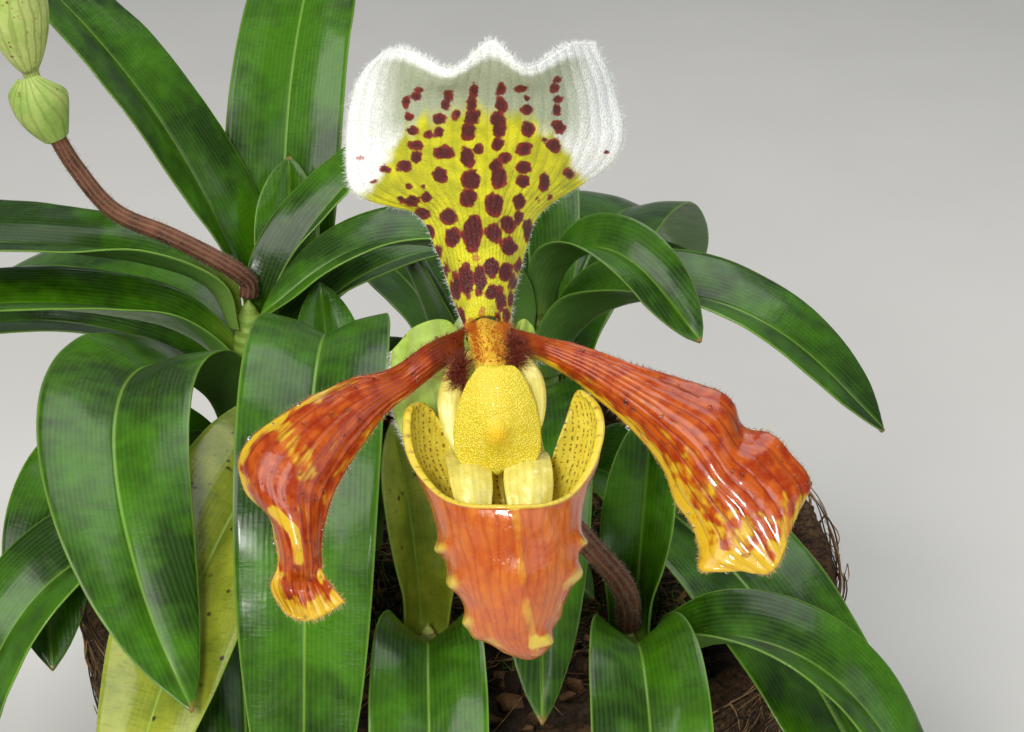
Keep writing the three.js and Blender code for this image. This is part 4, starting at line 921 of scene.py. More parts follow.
def leaf_net(growth, title):
    """The part's net of a leaf. The spine's slope starts upright, falls to the rise within the sheath and
    droops by the cubic ease; its steps are laid end to end. Across, each half bends as an arc round the stem
    at the base and as a fold that opens outwards beyond."""
    x, y, _, spacing, foot, _ = growth_sizes(growth)
    leaves = GROWTHS[growth][1]
    azimuth, turn, rise, droop, bend, length, width, twist = leaves[title]
    height = FIRST_LEAF + spacing * list(leaves).index(title)
    clasp = stem_radius(growth, height) + GAP + LEAF_BASE_THICKNESS / 2 + CLASP_ROOM
    share = (np.arange(LEAF_ROWS) / (LEAF_ROWS - 1)) ** 1.2
    run = share * length
    upright = np.exp(-((run / SHEATH_LENGTH) ** 2))
    slope = np.radians(rise + (84 - rise) * upright - droop * ease(0.02, bend, share))
    heading = np.radians(azimuth + turn * share)
    ahead = place_of(np.cos(slope) * np.cos(heading), np.cos(slope) * np.sin(heading), np.sin(slope))
    side = place_of(-np.sin(heading), np.cos(heading), 0 * heading)
    inward = np.cross(ahead, side)
    roll = np.radians(twist * share)[:, None]
    side, inward = side * np.cos(roll) + inward * np.sin(roll), inward * np.cos(roll) - side * np.sin(roll)
    start = np.array([x + clasp * math.cos(math.radians(azimuth)), y + clasp * math.sin(math.radians(azimuth)),
                      foot + height])
    spine = start + np.cumsum(ahead * np.diff(run, prepend=0)[:, None], axis=0)
    base_half = 1.15 * clasp
    swell = np.sin(np.pi / 2 * np.minimum(1, share / 0.4))
    half = np.maximum(1.4, (base_half + (width / 2 - base_half) * swell) * (1 - share**5) ** 0.8)
    fold = np.radians(13 + 40 * np.exp(-run / 45))
    columns = [spine]
    for hand in (-1, 1):
        at = spine
        for k in range(2):
            out = (k + 0.5) / 2 * half
            lean = upright * out / clasp + (1 - upright) * (fold - 0.3 * (out / half) ** 2)
            at = (at + side * (hand * np.cos(lean) * half / 2)[:, None]
                  + inward * (np.sin(lean) * half / 2)[:, None])
            columns = [at, *columns] if hand < 0 else [*columns, at]
    return np.stack(columns, axis=1), length


def scape_points(lower, foot, middle, end):
    """The way of a scape: from its stem's top, straight up by lower if that is given, then through its points."""
    x, y, _, _, ground, tall = growth_sizes(foot)
    top = np.array([x, y, ground + tall + GAP])
    start = [top, top + [0, 0, lower]] if lower else [top]
    return np.array([*start, *middle, *end])


class OrchidPotSizes(PropertyGroup):
    """Sizes and colours of the pot and its filling."""
    fibre_count: IntProperty(name="Loose Fibres", description="Loose fibres on the pot's wall", default=3600,
            min=0, max=4500)
    fibre_radius: FloatProperty(name="Fibre Radius", description="Radius of a loose fibre", default=0.00024,
            unit="LENGTH")
    dark_fibre: FloatVectorProperty(name="Dark Fibre", description="Darkest tone of the fibre", subtype="COLOR",
            default=tint("33221a"))
    light_fibre: FloatVectorProperty(name="Light Fibre", description="Lightest tone of the fibre",
            subtype="COLOR", default=tint("8a6844"))
    chip_count: IntProperty(name="Bark Chips", description="Chips of bark on the filling", default=300, min=0,
            max=2000)


class OrchidLeafSizes(PropertyGroup):
    """Sizes and colours of the leaves."""
    groove: FloatProperty(name="Midrib Groove", description="Depth of the groove along a leaf's middle",
            default=0.0009, unit="LENGTH")
    ripple: FloatProperty(name="Edge Ripple", description="Height of the waves along a leaf's edges",
            default=0.0007, unit="LENGTH")
    dark_green: FloatVectorProperty(name="Dark Green", description="Darker tone of a leaf", subtype="COLOR",
            default=tint("173502"))
    light_green: FloatVectorProperty(name="Light Green", description="Lighter tone of a leaf", subtype="COLOR",
            default=tint("3e7007"))


class OrchidFlowerSizes(PropertyGroup):
    """Sizes and colours of the flower."""
    hair_length: FloatProperty(name="Edge Hairs", description="Length of the hairs along the edges",
            default=0.0013, unit="LENGTH")
    spot: FloatVectorProperty(name="Spots", description="Colour of the dorsal sepal's spots", subtype="COLOR",
            default=tint("4c0d0b"))
    lime: FloatVectorProperty(name="Lime", description="Colour of the middle of the dorsal sepal",
            subtype="COLOR", default=tint("d2cc14"))
    petal: FloatVectorProperty(name="Petals", description="Ground colour of the petals", subtype="COLOR",
            default=tint("922e03"))
    gold: FloatVectorProperty(name="Petal Gold", description="Colour of the petals' lower margins",
            subtype="COLOR", default=tint("c9a422"))
    pouch: FloatVectorProperty(name="Pouch", description="Ground colour of the pouch", subtype="COLOR",
            default=tint("b3501c"))
    # Pouch gold: the yellow of the rim and warts, and also the painted highlight down the keel.
    pouch_gold_and_highlight: FloatVectorProperty(name="Pouch Gold", description="Colour of the pouch's rim and keel",
            subtype="COLOR", default=tint("cdb034"))


class OrchidStageSizes(PropertyGroup):
    """Light and floor."""
    key_power: FloatProperty(name="Main Light", description="Power of the main light", default=13.0,
            unit="POWER")
    fill_power: FloatProperty(name="Fill Light", description="Power of the fill light", default=4.0,
            unit="POWER")
    floor_colour: FloatVectorProperty(name="Floor", description="Colour of the floor", subtype="COLOR",
            default=tint("e6e4df"))


class ORCHID_OT_stage(Operator):
    """Makes the floor, the soft lights and the camera"""
    bl_idname = "orchid.stage"
    bl_label = "Stage"

    def execute(self, context):
        sizes = context.scene.orchid_stage
        f = Finish("pale_floor", Specular_IOR_Level=0.2)
        f.set(Base_Color=f.mix(f.noise(f.place, 90.0), sizes.floor_colour, tint("dedcd6")),
              Roughness=f.step(f.noise(f.place, 40.0), 0.3, 0.7, 0.6, 0.7))
        radius = np.linspace(0, 1, 13)[1:, None] ** 2 * 4000
        angle = np.linspace(0, 2 * np.pi, 72, endpoint=False)
        rings = place_of(radius * np.cos(angle), radius * np.sin(angle), -0.05 + 0 * radius * angle)
        index = np.arange(rings[..., 0].size).reshape(rings.shape[:2])
        mesh = bpy.data.meshes.new("floor")
        middle = index.size
        fan = [(middle, int(a), int(b)) for a, b in zip(index[0], np.roll(index[0], -1))]
        points = np.concatenate([rings.reshape(-1, 3), [[0, 0, -0.05]]]) * MM
        mesh.from_pydata(points.tolist(), [], grid_quads(index, wrap=True).tolist() + fan)
        mesh.materials.append(f.material)
        floor = bpy.data.objects.new("floor", mesh)
        context.scene.collection.objects.link(floor)
        aim = np.array([-30, -60, 200.0]) * MM
        for title, spot, size, power, colour in (
                ("key_light", (-0.75, -0.75, 1.25), 0.9, sizes.key_power, (1, 0.98, 0.94)),
                ("fill_light", (0.95, -0.7, 0.7), 1.0, sizes.fill_power, (0.94, 0.97, 1)),
                ("top_light", (0.15, 0.5, 1.35), 1.0, sizes.key_power * 0.6, (1, 1, 1)),
                ("front_light", (-0.1, -0.8, 0.62), 0.12, sizes.key_power * 0.3, (1, 0.99, 0.97))):
            data = bpy.data.lights.new(title, "AREA")
            data.size, data.energy, data.color = size, power, colour
            lamp = bpy.data.objects.new(title, data)
            lamp.location = spot
            lamp.rotation_euler = (Vector(aim) - Vector(spot)).to_track_quat("-Z", "Y").to_euler()
            context.scene.collection.objects.link(lamp)
        world = bpy.data.worlds.new("soft_room")
        world.use_nodes = True
        world.node_tree.nodes["Background"].inputs[0].default_value = (0.86, 0.9, 0.95, 1)
        world.node_tree.nodes["Background"].inputs[1].default_value = 0.2
        context.scene.world = world
        context.scene.view_settings.view_transform = "Standard"
        data = bpy.data.cameras.new("camera")
        data.sensor_width, data.lens = 36, 87.89
        data.clip_start, data.clip_end = 0.01, 50
        camera = bpy.data.objects.new("camera", data)
        ahead = in_flower([0, 1, 0]) - FLOWER_CENTRE
        up = in_flower([0, 0, 1]) - FLOWER_CENTRE
        spot = in_flower([VIEW_SHIFT[0], -VIEW_DISTANCE, VIEW_SHIFT[2]]) * MM
        camera.matrix_world = Matrix([[1, up[0], -ahead[0], spot[0]], [0, up[1], -ahead[1], spot[1]],
                                         [0, up[2], -ahead[2], spot[2]], [0, 0, 0, 1]])
        context.scene.collection.objects.link(camera)
        context.scene.camera = camera
        return {"FINISHED"}


class ORCHID_OT_pot(Operator):
    """Makes the pot's wall of matted fibre and the loose fibres on it"""
    bl_idname = "orchid.pot"
    bl_label = "Pot"

    def execute(self, context):
        sizes = context.scene.orchid_pot
        angle = np.linspace(0, 2 * np.pi, 440, endpoint=False)
        inner = POT_BASE_RADIUS - POT_WALL
        slope = (POT_RIM_RADIUS - POT_BASE_RADIUS) / POT_HEIGHT
        knots = np.array([(2, 0), (POT_BASE_RADIUS - 3, 0), (pot_outer(4) - 0.6, 2.4)]
                         + [(pot_outer(z), z) for z in np.linspace(6, POT_HEIGHT - 6, 120)]
                         + [(pot_outer(POT_HEIGHT - 2) - 1, POT_HEIGHT - 2.4),
                            (pot_outer(POT_HEIGHT) - 3.2, POT_HEIGHT - 0.4),
                            (pot_outer(POT_HEIGHT) - 5, POT_HEIGHT),
                            (inner + slope * POT_HEIGHT + 2, POT_HEIGHT - 0.4),
                            (inner + slope * POT_HEIGHT, POT_HEIGHT - 3)]
                         + [(inner + slope * z, z) for z in np.linspace(POT_HEIGHT - 6, POT_FLOOR, 12)]
                         + [(2, POT_FLOOR)])
        radius, z = knots[:, :1], knots[:, 1:]
        rings = place_of(radius * np.cos(angle), radius * np.sin(angle), z + 0 * angle)
        out = place_of(np.cos(angle) + 0 * z, np.sin(angle) + 0 * z, 0 * z + 0 * angle)
        uneven = 0.9 * np.sin(9 * angle + z / 14) + 0.6 * np.sin(17 * angle - z / 9)
        matted = noise(rings * [1, 1, 2.5], 5, 3, 3) * 1.1 + noise(rings * [1, 1, 0.35], 2.2, 5, 2) * 0.7
        lip = ease(POT_HEIGHT - 5, POT_HEIGHT, z)
        open_air = ease(0.5, 6, z) * ease(inner + 2, inner + 9, radius - slope * z)
        rings = rings + out * (open_air * (uneven * (1 - lip) + matted))[..., None]
        rings[..., 2] += lip * noise(rings, 3.5, 11, 3) * 0.8
        points, quads, triangles = skin(rings)
        piece("pot_surface", points, quads, triangles, fibre_finish("matted_fibre"), "fibre", "pot")
        rng = np.random.default_rng(21)
        count, steps = sizes.fibre_count, 7
        way = np.linspace(-0.5, 0.5, steps)
        length = rng.uniform(10, 46, (count, 1))
        heading = rng.normal(0, 0.75, (count, 1)) + rng.choice([0, math.pi], (count, 1))
        bend = rng.normal(0, 1.0, (count, 1))
        lean = heading + bend * way
        around, rise = np.cos(lean) * length / steps, np.sin(lean) * length / steps
        z = np.clip(rng.uniform(2, POT_HEIGHT + 1, (count, 1)) + np.cumsum(rise, 1), 1.2, POT_HEIGHT - 1.2)
        turn = (rng.uniform(0, 2 * np.pi, (count, 1))
                + np.cumsum(around, 1) / (POT_BASE_RADIUS + POT_RIM_RADIUS) * 2)
        arch = rng.gamma(1.2, 0.55, (count, 1)) * (1 - (2 * way) ** 2 * rng.uniform(0, 1, (count, 1)))
        radius = pot_outer(z) + 0.15 + np.minimum(arch, 2.6) + 0.9 * np.sin(9 * turn + z / 14) * 0.9
        centre = place_of(radius * np.cos(turn), radius * np.sin(turn), z)
        thick = sizes.fibre_radius / MM * rng.uniform(0.5, 1.5, (count, 1)) * (1 - 0.5 * (2 * way) ** 4)
        points, quads, triangles = strands(centre, thick, 22)
        piece("pot_fibres", points, quads, triangles, fibre_finish("loose_fibre", True), "fibre",
              place=strand_values(count, steps, 23))
        return {"FINISHED"}


class ORCHID_OT_filling(Operator):
    """Makes the potting mix with its bark chips, threads and moss"""
    bl_idname = "orchid.filling"
    bl_label = "Filling"

    def execute(self, context):
        sizes = context.scene.orchid_pot
        rim = (POT_BASE_RADIUS - POT_WALL
               + (POT_RIM_RADIUS - POT_BASE_RADIUS) * MIX_RIM_HEIGHT / POT_HEIGHT - GAP)
        floor = POT_FLOOR + GAP
        angle = np.linspace(0, 2 * np.pi, 260, endpoint=False)
        share = np.linspace(1, 0.012, 88)[:, None]
        x, y = rim * share * np.cos(angle), rim * share * np.sin(angle)
        top = place_of(x, y, mix_height(x, y))
        rough = noise(top, 6, 31, 2) * 1.5 + noise(top, 1.9, 32, 2) * 0.9
        top[..., 2] += rough * ease(1, 0.96, share)
        base = rim - (POT_RIM_RADIUS - POT_BASE_RADIUS) * (MIX_RIM_HEIGHT - floor) / POT_HEIGHT
        foot = np.stack([place_of(r * np.cos(angle), r * np.sin(angle), floor + 0 * angle) for r in (2, base)])
        points, quads, triangles = skin(np.concatenate([foot, top]))
        tone = 0.5 + 0.5 * noise(points, 9, 33, 2)
        piece("growing_medium_surface", points, quads, triangles, mix_finish("potting_mix", "crumb"), "filling",
              "growing_medium", place=place_of(tone, tone, 0 * tone))
        rng = np.random.default_rng(41)
        count = sizes.chip_count
        spots = rng.uniform(-1, 1, (count * 3, 2)) * rim
        spots = spots[np.hypot(*spots.T) < rim - 5]
        feet = np.array([g[0][:3] for g in GROWTHS.values()])
        clear = np.all(np.hypot(spots[:, None, 0] - feet[:, 0], spots[:, None, 1] - feet[:, 1]) > feet[:, 2]
                       + 5, axis=1)
        spots = spots[clear][:count]
        count = len(spots)
        corners = np.array([[a, b, c] for a in (-1, 1) for b in (-1, 1) for c in (-1, 1)], float)
        shape = (corners * rng.uniform(0.55, 1.1, (count, 8, 3))
                 * rng.uniform([1.8, 1.2, 0.6], [5, 3.2, 1.8], (count, 1, 3)))
        roll = np.linalg.qr(rng.normal(size=(count, 3, 3)) * [1, 1, 0.35] + np.eye(3) * [1.2, 1.2, 2.5])[0]
        shape = np.einsum("nij,nkj->nki", roll, shape)
        where = place_of(spots[:, 0], spots[:, 1], mix_height(*spots.T) + 0.6)
        points = (where[:, None] + shape).reshape(-1, 3)
        box = np.array([[0, 1, 3, 2], [4, 6, 7, 5], [0, 4, 5, 1], [2, 3, 7, 6], [0, 2, 6, 4], [1, 5, 7, 3]])
        quads = (box[None] + 8 * np.arange(count)[:, None, None]).reshape(-1, 4)
        tone = np.repeat(rng.uniform(0, 1, count), 8)
        chips = piece("bark_chips", points, quads, [], mix_finish("bark", "chip"), "filling",
                      place=place_of(tone, tone, tone))
        bevel = chips.modifiers.new("worn_edges", "BEVEL")
        bevel.width, bevel.segments = 0.0004, 1
        threads, steps = THREAD_COUNT, 6
        way = np.linspace(-0.5, 0.5, steps)
        heading = rng.uniform(0, 2 * np.pi, (threads, 1)) + rng.normal(0, 1.4, (threads, 1)) * way
        length = rng.uniform(8, 34, (threads, 1))
        start = rng.uniform(-1, 1, (threads, 2)) * rim * 0.62
        x = start[:, :1] + np.cumsum(np.cos(heading) * length / steps, 1)
        y = start[:, 1:] + np.cumsum(np.sin(heading) * length / steps, 1)
        z = mix_height(x, y) + rng.uniform(0.4, 2.6, (threads, 1)) * (1 - (2 * way) ** 2) + 0.3
        thick = rng.uniform(0.12, 0.34, (threads, 1)) * (1 - 0.5 * (2 * way) ** 4)
        points, quads, triangles = strands(place_of(x, y, z), thick, 42)
        piece("mix_threads", points, quads, triangles, fibre_finish("thread", True), "filling",
              place=strand_values(threads, steps, 43))
        tufts, each = MOSS_TUFTS, MOSS_BLADES
        centres = rng.uniform(-1, 1, (tufts, 1, 2)) * rim * 0.68
        root = (centres + rng.normal(0, 3.2, (tufts, each, 2))).reshape(-1, 2)
        root = root[np.hypot(*root.T) < rim - 4]
        up = unit(rng.normal(0, 0.45, (len(root), 3)) + [0, 0, 1])
        base = place_of(root[:, 0], root[:, 1], mix_height(*root.T) + 0.2)
        points, quads, triangles = hairs(base, up, rng.uniform(1.5, 4.2, len(root)), 0.28, 44, 0.6)
        piece("moss", points, quads, triangles, mix_finish("moss", "moss"), "filling",
              place=strand_values(len(root), 4, 45))
        return {"FINISHED"}


class ORCHID_OT_growths(Operator):
    """Makes the stems and the strap leaves of every growth"""
    bl_idname = "orchid.growths"
    bl_label = "Stems and Leaves"

    def execute(self, context):
        sizes = context.scene.orchid_leaves
        green, old, bark = leaf_finish("leaf_green"), leaf_finish("leaf_old", True), stem_finish("stem_green")
        angle = np.linspace(0, 2 * np.pi, 40, endpoint=False)
        seed = 0
        for growth, (_, leaves) in GROWTHS.items():
            x, y, _, _, foot, tall = growth_sizes(growth)
            height = np.concatenate([np.linspace(MIX_RIM_HEIGHT - HOLE_DEPTH + GAP - foot, 0, 6)[:-1],
                    np.linspace(0, tall, 50)])
            radius = ((stem_radius(growth, height) + 0.12 * np.sin(height * 2.1) * (height > 0))
                      * (1 - np.clip((height - tall + STEM_TIP) / (STEM_TIP + 0.1), 0, 1) ** 1.7))
            rings = place_of(x + radius[:, None] * np.cos(angle), y + radius[:, None] * np.sin(angle),
                             foot + height[:, None] + 0 * angle)
            points, quads, triangles = skin(rings)
            above = points[:, 2] - foot
            piece(f"stem_{growth}_surface", points, quads, triangles, bark, "stem", f"stem_{growth}",
                  place=place_of(above, above, above))
            for title in leaves:
                seed += 1
                net, length = leaf_net(growth, title)
                u = spaced(int(26 + length / 4), 0.004)
                v = 0.5 + 0.5 * np.sign(np.linspace(-1, 1, 25)) * np.abs(np.linspace(-1, 1, 25)) ** 1.25
                v = np.concatenate([[0, 0.006], v[1:-1], [0.994, 1]])
                centre = net_surface(net, u, v)
                steps = np.linalg.norm(np.diff(centre, axis=1), axis=2)
                across = np.concatenate([np.zeros((len(u), 1)), np.cumsum(steps, 1)], 1)
                across -= across[:, len(v) // 2][:, None]
                half = np.maximum(np.abs(across).max(1, keepdims=True), 0.1)
                run = np.concatenate([[0],
                        np.cumsum(np.linalg.norm(np.diff(centre[:, len(v) // 2], axis=0), axis=1))])[:, None]
                normal = upright(centre)
                out = np.abs(across) / half
                free = ease(0.04, 0.25, u)[:, None] * ease(1, 0.9, u)[:, None]
                wave = noise(place_of(run + 0 * across, np.sign(across) * 20 + 0 * run,
                        seed * 9.0 + 0 * run * across), 17, 51, 2)
                lift = ((sizes.ripple / MM * wave * out**2 * 1.6 - sizes.groove / MM
                         * np.exp(-np.abs(across) / 1.0)) * free)
                tip = np.sqrt(1 - np.clip((u - 0.955) / 0.0451, 0, 1) ** 2)[:, None, None]
                middle = centre[:, len(v) // 2][:, None]
                centre = middle + (centre - middle) * tip + normal * lift[..., None]
                thick = (LEAF_BASE_THICKNESS
                         + (LEAF_MID_THICKNESS - LEAF_BASE_THICKNESS) * ease(0.05, 0.25, u)[:, None])
                thick = (thick + (0.55 - thick) * out) * rounded(v, 0.012)
                points, quads, spread, side = sheet(centre, thick / 2)
                is_old = title in OLD_LEAVES
                piece(f"leaf_{growth}_{title}_surface", points, quads, [], old if is_old else green,
                      "old_leaf" if is_old else "leaf", f"leaf_{growth}_{title}",
                      place=place_of(spread(across), spread(run + 0 * across), side),
                      blade=place_of(spread(u[:, None] + 0 * across), spread(out),
                                     np.full(len(points), seed * 3.7)))
        return {"FINISHED"}


def along_sheet(spread, u, v, length, side):
    """Each point's place on a sheet: the way across from 0 to 1, the way along in millimetres, and the side."""
    return place_of(spread(v[None] + 0 * u[:, None]), spread(u[:, None] * length + 0 * v), side)


def half_thickness(u, v, middle, drop, foot, edge):
    """Half of a blade's thickness: middle on its centre line, less by drop at its sides, rounded off at its
    ends over foot and at its sides over edge."""
    return (middle - drop * np.abs(2 * v - 1) ** 2)[None] * rounded(u, foot)[:, None] * rounded(v, edge)[None]


def edge_hairs(name, finish, slot, centre, count, length, seed, edges="both"):
    """Hairs along the edges of a surface, each leaning outwards from the row of points inside the edge."""
    rng = np.random.default_rng(seed)
    lines = {"both": [(centre[:, 0], centre[:, 4]), (centre[:, -1], centre[:, -5]), (centre[-1], centre[-5])],
             "end": [(centre[-1], centre[-5])]}[edges]
    edge = np.concatenate([a for a, _ in lines])
    inside = np.concatenate([b for _, b in lines])
    gaps = np.linalg.norm(np.diff(edge, axis=0), axis=1)
    gaps[np.cumsum([len(a) for a, _ in lines])[:-1] - 1] = 0
    run = np.concatenate([[0], np.cumsum(gaps)])
    where = rng.uniform(0, run[-1], count)
    k = np.clip(np.searchsorted(run, where) - 1, 0, len(edge) - 2)
    w = ((where - run[k]) / np.maximum(run[k + 1] - run[k], 1e-6))[:, None]
    root = edge[k] * (1 - w) + edge[k + 1] * w
    way = unit(unit(root - (inside[k] * (1 - w) + inside[k + 1] * w)) + rng.normal(0, 0.35, (count, 3)))
    points, quads, triangles = hairs(root - way * 0.15, way, length * rng.uniform(0.5, 1.15, count), 0.055,
            seed, 0.4)
    return piece(name, in_flower(points), quads, triangles, finish, slot, place=strand_values(count, 4, seed))


class ORCHID_OT_dorsal_sepal(Operator):
    """Makes the spotted dorsal sepal and its fringe of white hairs"""
    bl_idname = "orchid.dorsal_sepal"
    bl_label = "Dorsal Sepal"

    def execute(self, context):
        u, v = spaced(196, 0.003), spaced(190, 0.003)
        centre = net_surface(DORSAL_SEPAL_NET, u, v)
        normal = upright(centre)
        flute = 0.08 * np.cos(2 * np.pi * 24 * v)[None] * ease(0.1, 0.3, u)[:, None]
        wave = noise(centre, 9, 61, 2) * 0.5
        centre = centre + normal * (flute + wave)[..., None]
        half = half_thickness(u, v, 0.5, 0.22, 0.008, 0.008)
        points, quads, spread, side = sheet(centre, half, (0, -1, 0))
        x, z = as_seen(points)

        def nearest(spots):
            found = np.full(len(x), 9.0)
            for cx, cy, w, h in spots:
                dx = x - SPOT_CORNER[0] - cx / 20
                dz = SPOT_CORNER[1] - cy / 20 - z
                found = np.minimum(found, (np.hypot(dx / (w / 40), dz / (h / 40)) - 1) * min(w, h) / 40)
            return found
        top = 44 - 2.2 * (np.abs(x + 1.5) / 12) ** 2 - 9.5 * ease(14, 23, np.abs(x + 1.5))
        across = spread(v[None] + 0 * u[:, None])
        fingers = noise(place_of(across * 30, 0.06 * z, 0 * x), 1.0, 62, 2) * 2.6 + noise(points, 5, 66, 2) * 2
        yellow = ease(-4.5, 3.5, top - z + fingers)
        # Painted shade: a mask for the shadow that the forward-arching top lip casts on the upper middle, stopping
        # short of the margin.
        shade = ease(24, 15, np.abs(x + 1)) * ease(36, 43, z) * ease(0.955, 0.9, spread(u[:, None] + 0 * v))
        piece("dorsal_sepal_surface", in_flower(points), quads, [], dorsal_finish("dorsal_sepal"),
              "dorsal_sepal", "dorsal_sepal",
              place=place_of(across, spread(u[:, None] * 55 + 0 * v), side),
              paint=place_of(nearest(SPOTS), yellow, nearest(FAINT_SPOTS)),
              shade=place_of(shade, shade, shade))
        edge_hairs("dorsal_sepal_hairs", hair_finish("white_hair", "d8d8cc", "ffffff"), "dorsal_sepal", centre,
                   3600, context.scene.orchid_flower.hair_length / MM, 63)
        return {"FINISHED"}


class ORCHID_OT_synsepal(Operator):
    """Makes the pale synsepal behind the pouch"""
    bl_idname = "orchid.synsepal"
    bl_label = "Synsepal"

    def execute(self, context):
        u, v = spaced(70, 0.006), spaced(110, 0.004)
        centre = net_surface(SYNSEPAL_NET, u, v)
        normal = upright(centre)
        centre = (centre + normal
                  * (noise(centre, 8, 71, 2) * 0.4 + 0.12 * np.cos(2 * np.pi * 9 * v)[None])[..., None])
        half = half_thickness(u, v, 0.5, 0.2, 0.015, 0.01)
        points, quads, spread, side = sheet(centre, half, (0, -1, 0))
        piece("synsepal_surface", in_flower(points), quads, [],
              soft_green_finish("synsepal", "86a22c", "5a3c18", "a9c25a"), "synsepal", "synsepal",
              place=along_sheet(spread, u, v, 40, side))
        edge_hairs("synsepal_hairs", bpy.data.materials["white_hair"], "synsepal", centre, 1600, 1.1, 73)
        return {"FINISHED"}


class ORCHID_OT_petals(Operator):
    """Makes the two veined petals and the hairs on their edges"""
    bl_idname = "orchid.petals"
    bl_label = "Petals"

    def execute(self, context):
        downy = hair_finish("petal_hair", "6b3a20", "d9b27a")
        for title, net, count in (("petal_left", PETAL_LEFT_NET, 8), ("petal_right", PETAL_RIGHT_NET, 9)):
            left = title == "petal_left"
            u, v = spaced(190, 0.003), spaced(90, 0.006)
            centre = net_surface(net, u, v)
            normal = upright(centre)
            crisp = (0.7 * np.sin(2 * np.pi * (u * 5 + 0.35 * np.sin(9 * u)))[:, None] * (1 - v) ** 3
                     * ease(0.15, 0.35, u)[:, None] * ease(1, 0.85, u)[:, None])
            veins = 0.07 * np.cos(2 * np.pi * count * v)
            centre = centre + normal * (crisp + veins + noise(centre, 6, 81, 2) * 0.35)[..., None]
            half = half_thickness(u, v, 0.55, 0.25, 0.008, 0.014)
            points, quads, spread, side = sheet(centre, half, (0, -1, 0))
            x, z = as_seen(points)
            across, along = spread(v[None] + 0 * u[:, None]), spread(u[:, None] + 0 * v)
            rag = noise(place_of(x, z, 0 * x), 3, 83, 2) * 0.12
            if left:
                gold = (0.75 * ease(0.22, 0.0, across + rag) * ease(0.2, 0.35, along)
                        + brush(x, z, [(-42.9, -35.6), (-38.6, -39.6), (-37.6, -45.6)], 1.6)
                        + brush(x, z, [(-42, -18), (-38, -22), (-36, -28)], 3.2) * 0.5
                        + ease(0.86, 0.95, along + rag) + 0.35 * ease(0.82, 1.0, across + rag))
            else:
                gold = (ease(0.78, 0.9, across + rag) * 0.9 + ease(0.87, 0.98, along + rag * 0.6) * 0.8
                        + 0.5 * ease(0.42, 0.7, across + rag) * ease(0.35, 0.6, along))
            dark = (ease(0.22, 0.05, along + rag) * 0.9
                    + 0.5 * ease(0.08, 0.0, across) * ease(0.3, 0.6, noise(points, 1.2, 85)))
            piece(f"{title}_surface", in_flower(points), quads, [], petal_finish(title, count), "petal", title,
                  place=place_of(across, along * 70, side),
                  paint=place_of(np.clip(gold, 0, 1), np.clip(dark, 0, 1), 0 * gold))
            edge_hairs(f"{title}_hairs", downy, "petal", centre, 1500, 1.0, 86 + left)
            drops, quads, triangles = dew(centre, 90, 88 + left, 0.5)
            piece(f"{title}_dew", in_flower(drops), quads, triangles, dew_finish(), "petal")
        return {"FINISHED"}


